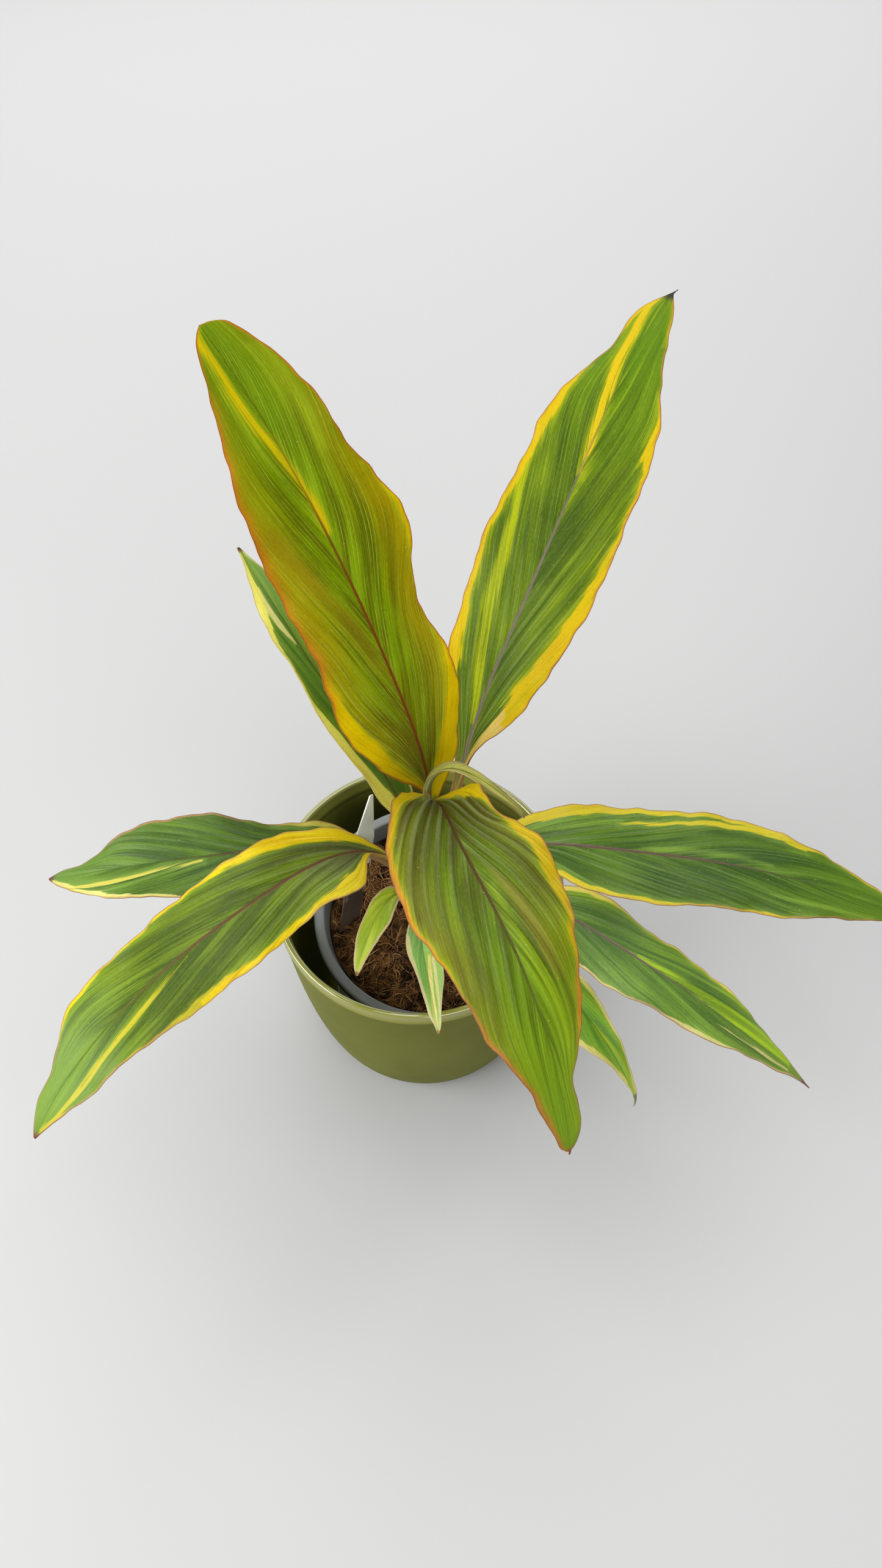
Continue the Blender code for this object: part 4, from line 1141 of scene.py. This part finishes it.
def midrib(leaf, s):
    """Points of the midrib, with the right-hand and upward directions there."""
    stalk, blade = leaf["stalk"], leaf["blade"]
    quarters = stalk + blade * np.linspace(0, 1, 5)
    rise = np.radians(along([0, *quarters], leaf["rise"], s))
    heading = np.radians(along(quarters, leaf["heading"], s))
    _, hang, swing = leaf.get("drip", (0, 0, 0))
    beyond = np.clip((s - stalk - blade) / DRIP_BEND + 1, 0, 3)
    rise, heading = rise + np.radians(hang) * beyond, heading + np.radians(swing) * beyond
    forward = np.stack([np.cos(rise) * np.cos(heading), np.cos(rise) * np.sin(heading), np.sin(rise)], 1)
    height, side = leaf["attach"]
    out = 0
    if height < STEM_TOP_HEIGHT:
        out = stem_radius(height) + SEAT_GAP + STALK_DEPTH * math.sin(rise[0])
    foot = stem_centre(height)
    start = (foot.x + out * math.cos(math.radians(side)), foot.y + out * math.sin(math.radians(side)), height)
    steps = (forward[1:] + forward[:-1]) / 2 * np.diff(s)[:, None]
    points = np.array(start) + np.vstack([np.zeros(3), np.cumsum(steps, 0)])
    level = np.stack([np.sin(heading), -np.cos(heading), np.zeros_like(heading)], 1)
    over = np.cross(level, forward)
    roll = np.radians(along(stalk + blade * np.array([0, 0.5, 1]), leaf["tilt"], s))[:, None]
    return points, np.cos(roll) * level + np.sin(roll) * over, np.cos(roll) * over - np.sin(roll) * level


def widest(leaf):
    return max(*leaf["left"], *leaf["right"])


def breadth(leaf):
    """How much of a large leaf's unevenness this leaf has."""
    return min(widest(leaf) / LARGE_HALF, 1)


def half_width(leaf, u, b, even=False):
    """Half width of the half that u lies in."""
    right = int(u >= 0)
    tip = leaf.get("blunt", (TIP_HALF, TIP_HALF))[right]
    width = along(WIDTH_AT, [STALK_HALF, *leaf["right" if right else "left"], tip], b)
    if even:
        return np.maximum(width, TIP_HALF)
    phase = leaf["stalk"] + (0 if right else 3)
    uneven = sum(
        size * np.sin(math.tau * leaf["blade"] * b / length + phase * k)
        for k, (length, size) in enumerate(UNEVEN_EDGE, 1))
    width = width + breadth(leaf) * uneven * ramp(b, 0.15) * ramp(1 - b, 0.1)
    if "blunt" in leaf:
        ending = TIP_ROUNDING / leaf["blade"]
        width = width * np.sqrt(np.clip(1 - np.clip((b - 1) / ending + 1, 0, 1) ** 2, 0, 1))
    thread = leaf.get("drip", (1,))[0] / leaf["blade"]
    return np.maximum(width, TIP_HALF) * (1 - DRIP_TAPER * ramp(b - 1, thread))


def both_halves(leaf, b, u, even=False):
    return np.where(u < 0, half_width(leaf, -1, b, even), half_width(leaf, 1, b, even))


def vein_number(leaf, b, u):
    """The same all along a vein, and one more from each vein to the next. Veins pass the margin's unevenness by."""
    b = np.maximum(b, 0)
    uneven, even = both_halves(leaf, b, u), both_halves(leaf, b, u, True)
    run = b - VEIN_LEAD * (1 - np.exp(-b / VEIN_LEAD)) - VEIN_SLANT * np.abs(u) * uneven / even
    return run * widest(leaf) / (VEIN_SLANT * VEIN_SPACING)


def leaf_rows(leaf, across, s):
    """Points of the leaf's middle surface: a row for each s, a point for each u of across."""
    points, right, over = midrib(leaf, s)
    b = (s - leaf["stalk"]) / leaf["blade"]
    ripple, count = leaf["wave"]
    pleat, veins_apart = leaf.get("pleat", (PLEAT_DEPTH * breadth(leaf), PLEAT_VEINS))
    opening = [STALK_END, BLADE_OPEN, 0.5, 1]
    fold = np.interp(b, opening, [STALK_FOLD, *leaf["fold"]])
    swell = ramp(b, RIPPLE_STARTS) * ramp(1 - b, RIPPLE_ENDS)
    groove = GROOVE_DEPTH * (ramp(b, 0.05) * (1 - 0.7 * b))
    rows = np.empty((len(s), len(across), 3))
    for k, u in enumerate(across):
        half = half_width(leaf, u, b) * abs(u)
        curl = np.interp(b, opening, [STALK_CURL, *leaf["curl"]]) * abs(u)
        bend = np.radians(fold[:, None] + curl[:, None] * np.linspace(0, 1, BEND_STEPS))
        x, y = np.cos(bend).mean(1) * half, np.sin(bend).mean(1) * half
        phase = count * b + (RIPPLE_AHEAD if u < 0 else 0)
        y = y + ripple * abs(u) ** RIPPLE_POWER * swell * np.sin(math.tau * phase)
        frill = np.sin(math.tau * (FRILL_RATE * phase + 0.6 * np.sin(5 * b)))
        y = y + FRILL * breadth(leaf) * abs(u) ** FRILL_POWER * swell * frill
        depth = pleat * ramp(b, 0.08) * np.clip(1.05 - b, 0, 1) * np.clip(abs(u) * 6, 0, 1)
        phase = math.tau * vein_number(leaf, b, u) / veins_apart
        y = y + depth * (1 - abs(u) ** 3) * (np.sin(phase + 2 * math.copysign(1, u)) + 0.5 * np.sin(0.43 * phase))
        y = y - groove * np.exp(-((half / GROOVE_HALF) ** 2))
        rows[:, k] = points + math.copysign(1, u) * x[:, None] * right + y[:, None] * over
    return rows, b


def mark_depth(leaf, marks, b, u, half):
    """How far inside the nearest of the marks each point is, in millimetres, and below zero outside them."""
    deepest = np.full(np.broadcast(b, u).shape, UNMARKED)
    for knots in marks:
        full = [
            knot if len(knot) == 3 else (knot[0], -BEYOND_MARGIN, knot[1]) if knot[1] < 0 else (*knot, BEYOND_MARGIN)
            for knot in knots]
        at, start, end = np.array(full).T / 100
        across = np.minimum(u - np.interp(b, at, start), np.interp(b, at, end) - u) * half
        first = at[0] if at[0] > 0 else -9.0
        last = at[-1] if at[-1] < 1 else 9.0
        inside = np.minimum(across, np.minimum(b - first, last - b) * leaf["blade"])
        deepest = np.maximum(deepest, inside)
    return deepest


def leaf_lengths(leaf, spans):
    """Where the rows of points lie along the leaf, closer together at the end of one with a drip tip."""
    end = leaf["stalk"] + leaf["blade"]
    if "drip" not in leaf:
        return np.linspace(0, end, spans + 1)
    drip = end + np.linspace(0, leaf["drip"][0], DRIP_SPANS + 1)
    before = end - TIP_ROUNDING * np.cos(np.linspace(0, math.pi / 2, DRIP_SPANS + 1))
    return np.concatenate([np.linspace(0, before[0], spans + 1 - 2 * DRIP_SPANS), before[1:], drip[1:]])


def make_leaf(name, leaf):
    """A grid shaped over the leaf's surface, then thickened. Its points carry where they are on the leaf."""
    spans_across, spans_along = LARGE_LEAF_GRID if leaf["blade"] > SMALL_BLADE else SMALL_LEAF_GRID
    across = np.linspace(-1, 1, spans_across + 1)
    rows, b = leaf_rows(leaf, across, leaf_lengths(leaf, spans_along))
    rows = np.clip(rows, np.array(cad_box[0]) / MM + BOX_INSET, np.array(cad_box[1]) / MM - BOX_INSET)
    obj = add_mesh(
        f"{name}_blade", bpy.ops.mesh.primitive_grid_add,
        x_subdivisions=spans_across, y_subdivisions=spans_along, size=2)
    mesh = obj.data
    count = len(mesh.vertices)
    flat = np.empty(count * 3)
    mesh.vertices.foreach_get("co", flat)
    x, y, _ = flat.reshape(-1, 3).T
    i, j = (np.rint((v + 1) / 2 * spans).astype(int) for v, spans in ((x, spans_across), (y, spans_along)))
    mesh.vertices.foreach_set("co", (rows[j, i] * MM).ravel())
    mesh.update()

    u, share = across[i], b[j]
    half = both_halves(leaf, share, u)
    from_rib = np.abs(u) * half
    rib_half = np.interp(share, [0, 0.5, 1], RIB_HALF)
    opened = ramp(share - STALK_END, BLADE_OPEN - STALK_END)
    at_rib = np.clip(1.6 - from_rib / rib_half, 0, 1)
    blade_thick = BLADE_THICK + (np.interp(share, [0, 1], [RIB_THICK, BLADE_THICK]) - BLADE_THICK) * at_rib
    thick = STALK_THICK + (blade_thick - STALK_THICK) * opened
    weights = np.round(thick / STALK_THICK, 2)
    group = obj.vertex_groups.new(name="thickness")
    for weight in np.unique(weights):
        group.add(np.nonzero(weights == weight)[0].tolist(), float(weight), "REPLACE")
    modify(obj, "SOLIDIFY", thickness=STALK_THICK * MM, offset=0, vertex_group=group.name)

    values = {
        "share": share, "length": share * leaf["blade"], "side": np.sign(u), "middle": np.abs(u),
        "vein": vein_number(leaf, share, u), "edge": (1 - np.abs(u)) * half, "rib": from_rib / rib_half}
    for kind in MARK_KINDS:
        values[kind] = mark_depth(leaf, MARKS[name].get(kind, ()), share, u, half)
    assert len(mesh.vertices) == 2 * count
    for key, value in values.items():
        set_attribute(mesh, key, np.tile(value, 2).astype(np.float32))
    set_attribute(mesh, "under", np.repeat([0.0, 1.0], count).astype(np.float32))
    return obj


# Stage, light and camera

def make_stage():
    floor = add_mesh("floor", bpy.ops.mesh.primitive_plane_add, size=FLOOR_SIZE)
    made, _, _ = new_material("pale_floor", {"Base Color": FLOOR_COLOUR, "Roughness": 0.6})
    floor.data.materials.append(made)


def make_lights():
    bpy.context.scene.view_settings.view_transform = "Standard"
    world = bpy.data.worlds.new("studio")
    bpy.context.scene.world = world
    world.use_nodes = True
    Node(Tree(world.node_tree), world.node_tree.nodes["Background"], {"Color": SKY, "Strength": SKY_STRENGTH})
    for name, (place, size, power) in LIGHTS.items():
        light = bpy.data.lights.new(name, "AREA")
        light.shape, light.size, light.size_y = "RECTANGLE", *size
        light.energy = power
        obj = new_object(name, light)
        obj.location = place
        obj.visible_camera = False
        obj.rotation_euler = (Vector(LIT_PLACE) - Vector(place)).to_track_quat("-Z", "Y").to_euler()


def make_camera():
    """Where the photograph was taken from, with its angle of view."""
    pitch, yaw, roll = map(math.radians, CAMERA_TURN)
    forward = Vector((math.sin(yaw) * math.cos(pitch), math.cos(yaw) * math.cos(pitch), -math.sin(pitch)))
    right = Vector((math.cos(yaw), -math.sin(yaw), 0))
    up = right.cross(forward)
    rolled_right = math.cos(roll) * right + math.sin(roll) * up
    rolled_up = math.cos(roll) * up - math.sin(roll) * right
    data = bpy.data.cameras.new("photo_camera")
    data.sensor_fit, data.sensor_width = "AUTO", SENSOR
    data.lens = SENSOR * FOCAL_LENGTH
    data.clip_start = CLIP_START
    camera = new_object("photo_camera", data)
    turn = Matrix((rolled_right, rolled_up, -forward)).transposed().to_4x4()
    camera.matrix_world = Matrix.Translation(CAMERA_PLACE) @ turn
    bpy.context.scene.camera = camera


def main():
    make_camera()
    make_lights()
    make_stage()
    mottle = make_mottle_group()
    finish_piece(make_cachepot(), "cachepot", glaze_material(mottle), 30)
    finish_piece(make_nursery_pot(), "nursery_pot", plastic_material(mottle), 30)
    finish_piece(make_soil(), "soil", soil_material(mottle), 60)
    finish_piece(make_soil_fibres(), None, fibre_material(mottle), 60)
    finish_piece(make_stem(), "stem", cane_material(mottle))
    finish_piece(make_label(), "plant_label", label_material(mottle), 30)
    leaf_group = make_leaf_group(make_vein_group())
    for seed, (name, leaf) in enumerate(LEAVES.items()):
        look = leaf_material(name, seed * LEAF_SEED_STEP, leaf_group)
        finish_piece(make_leaf(name, leaf), name, look, 60)


main()
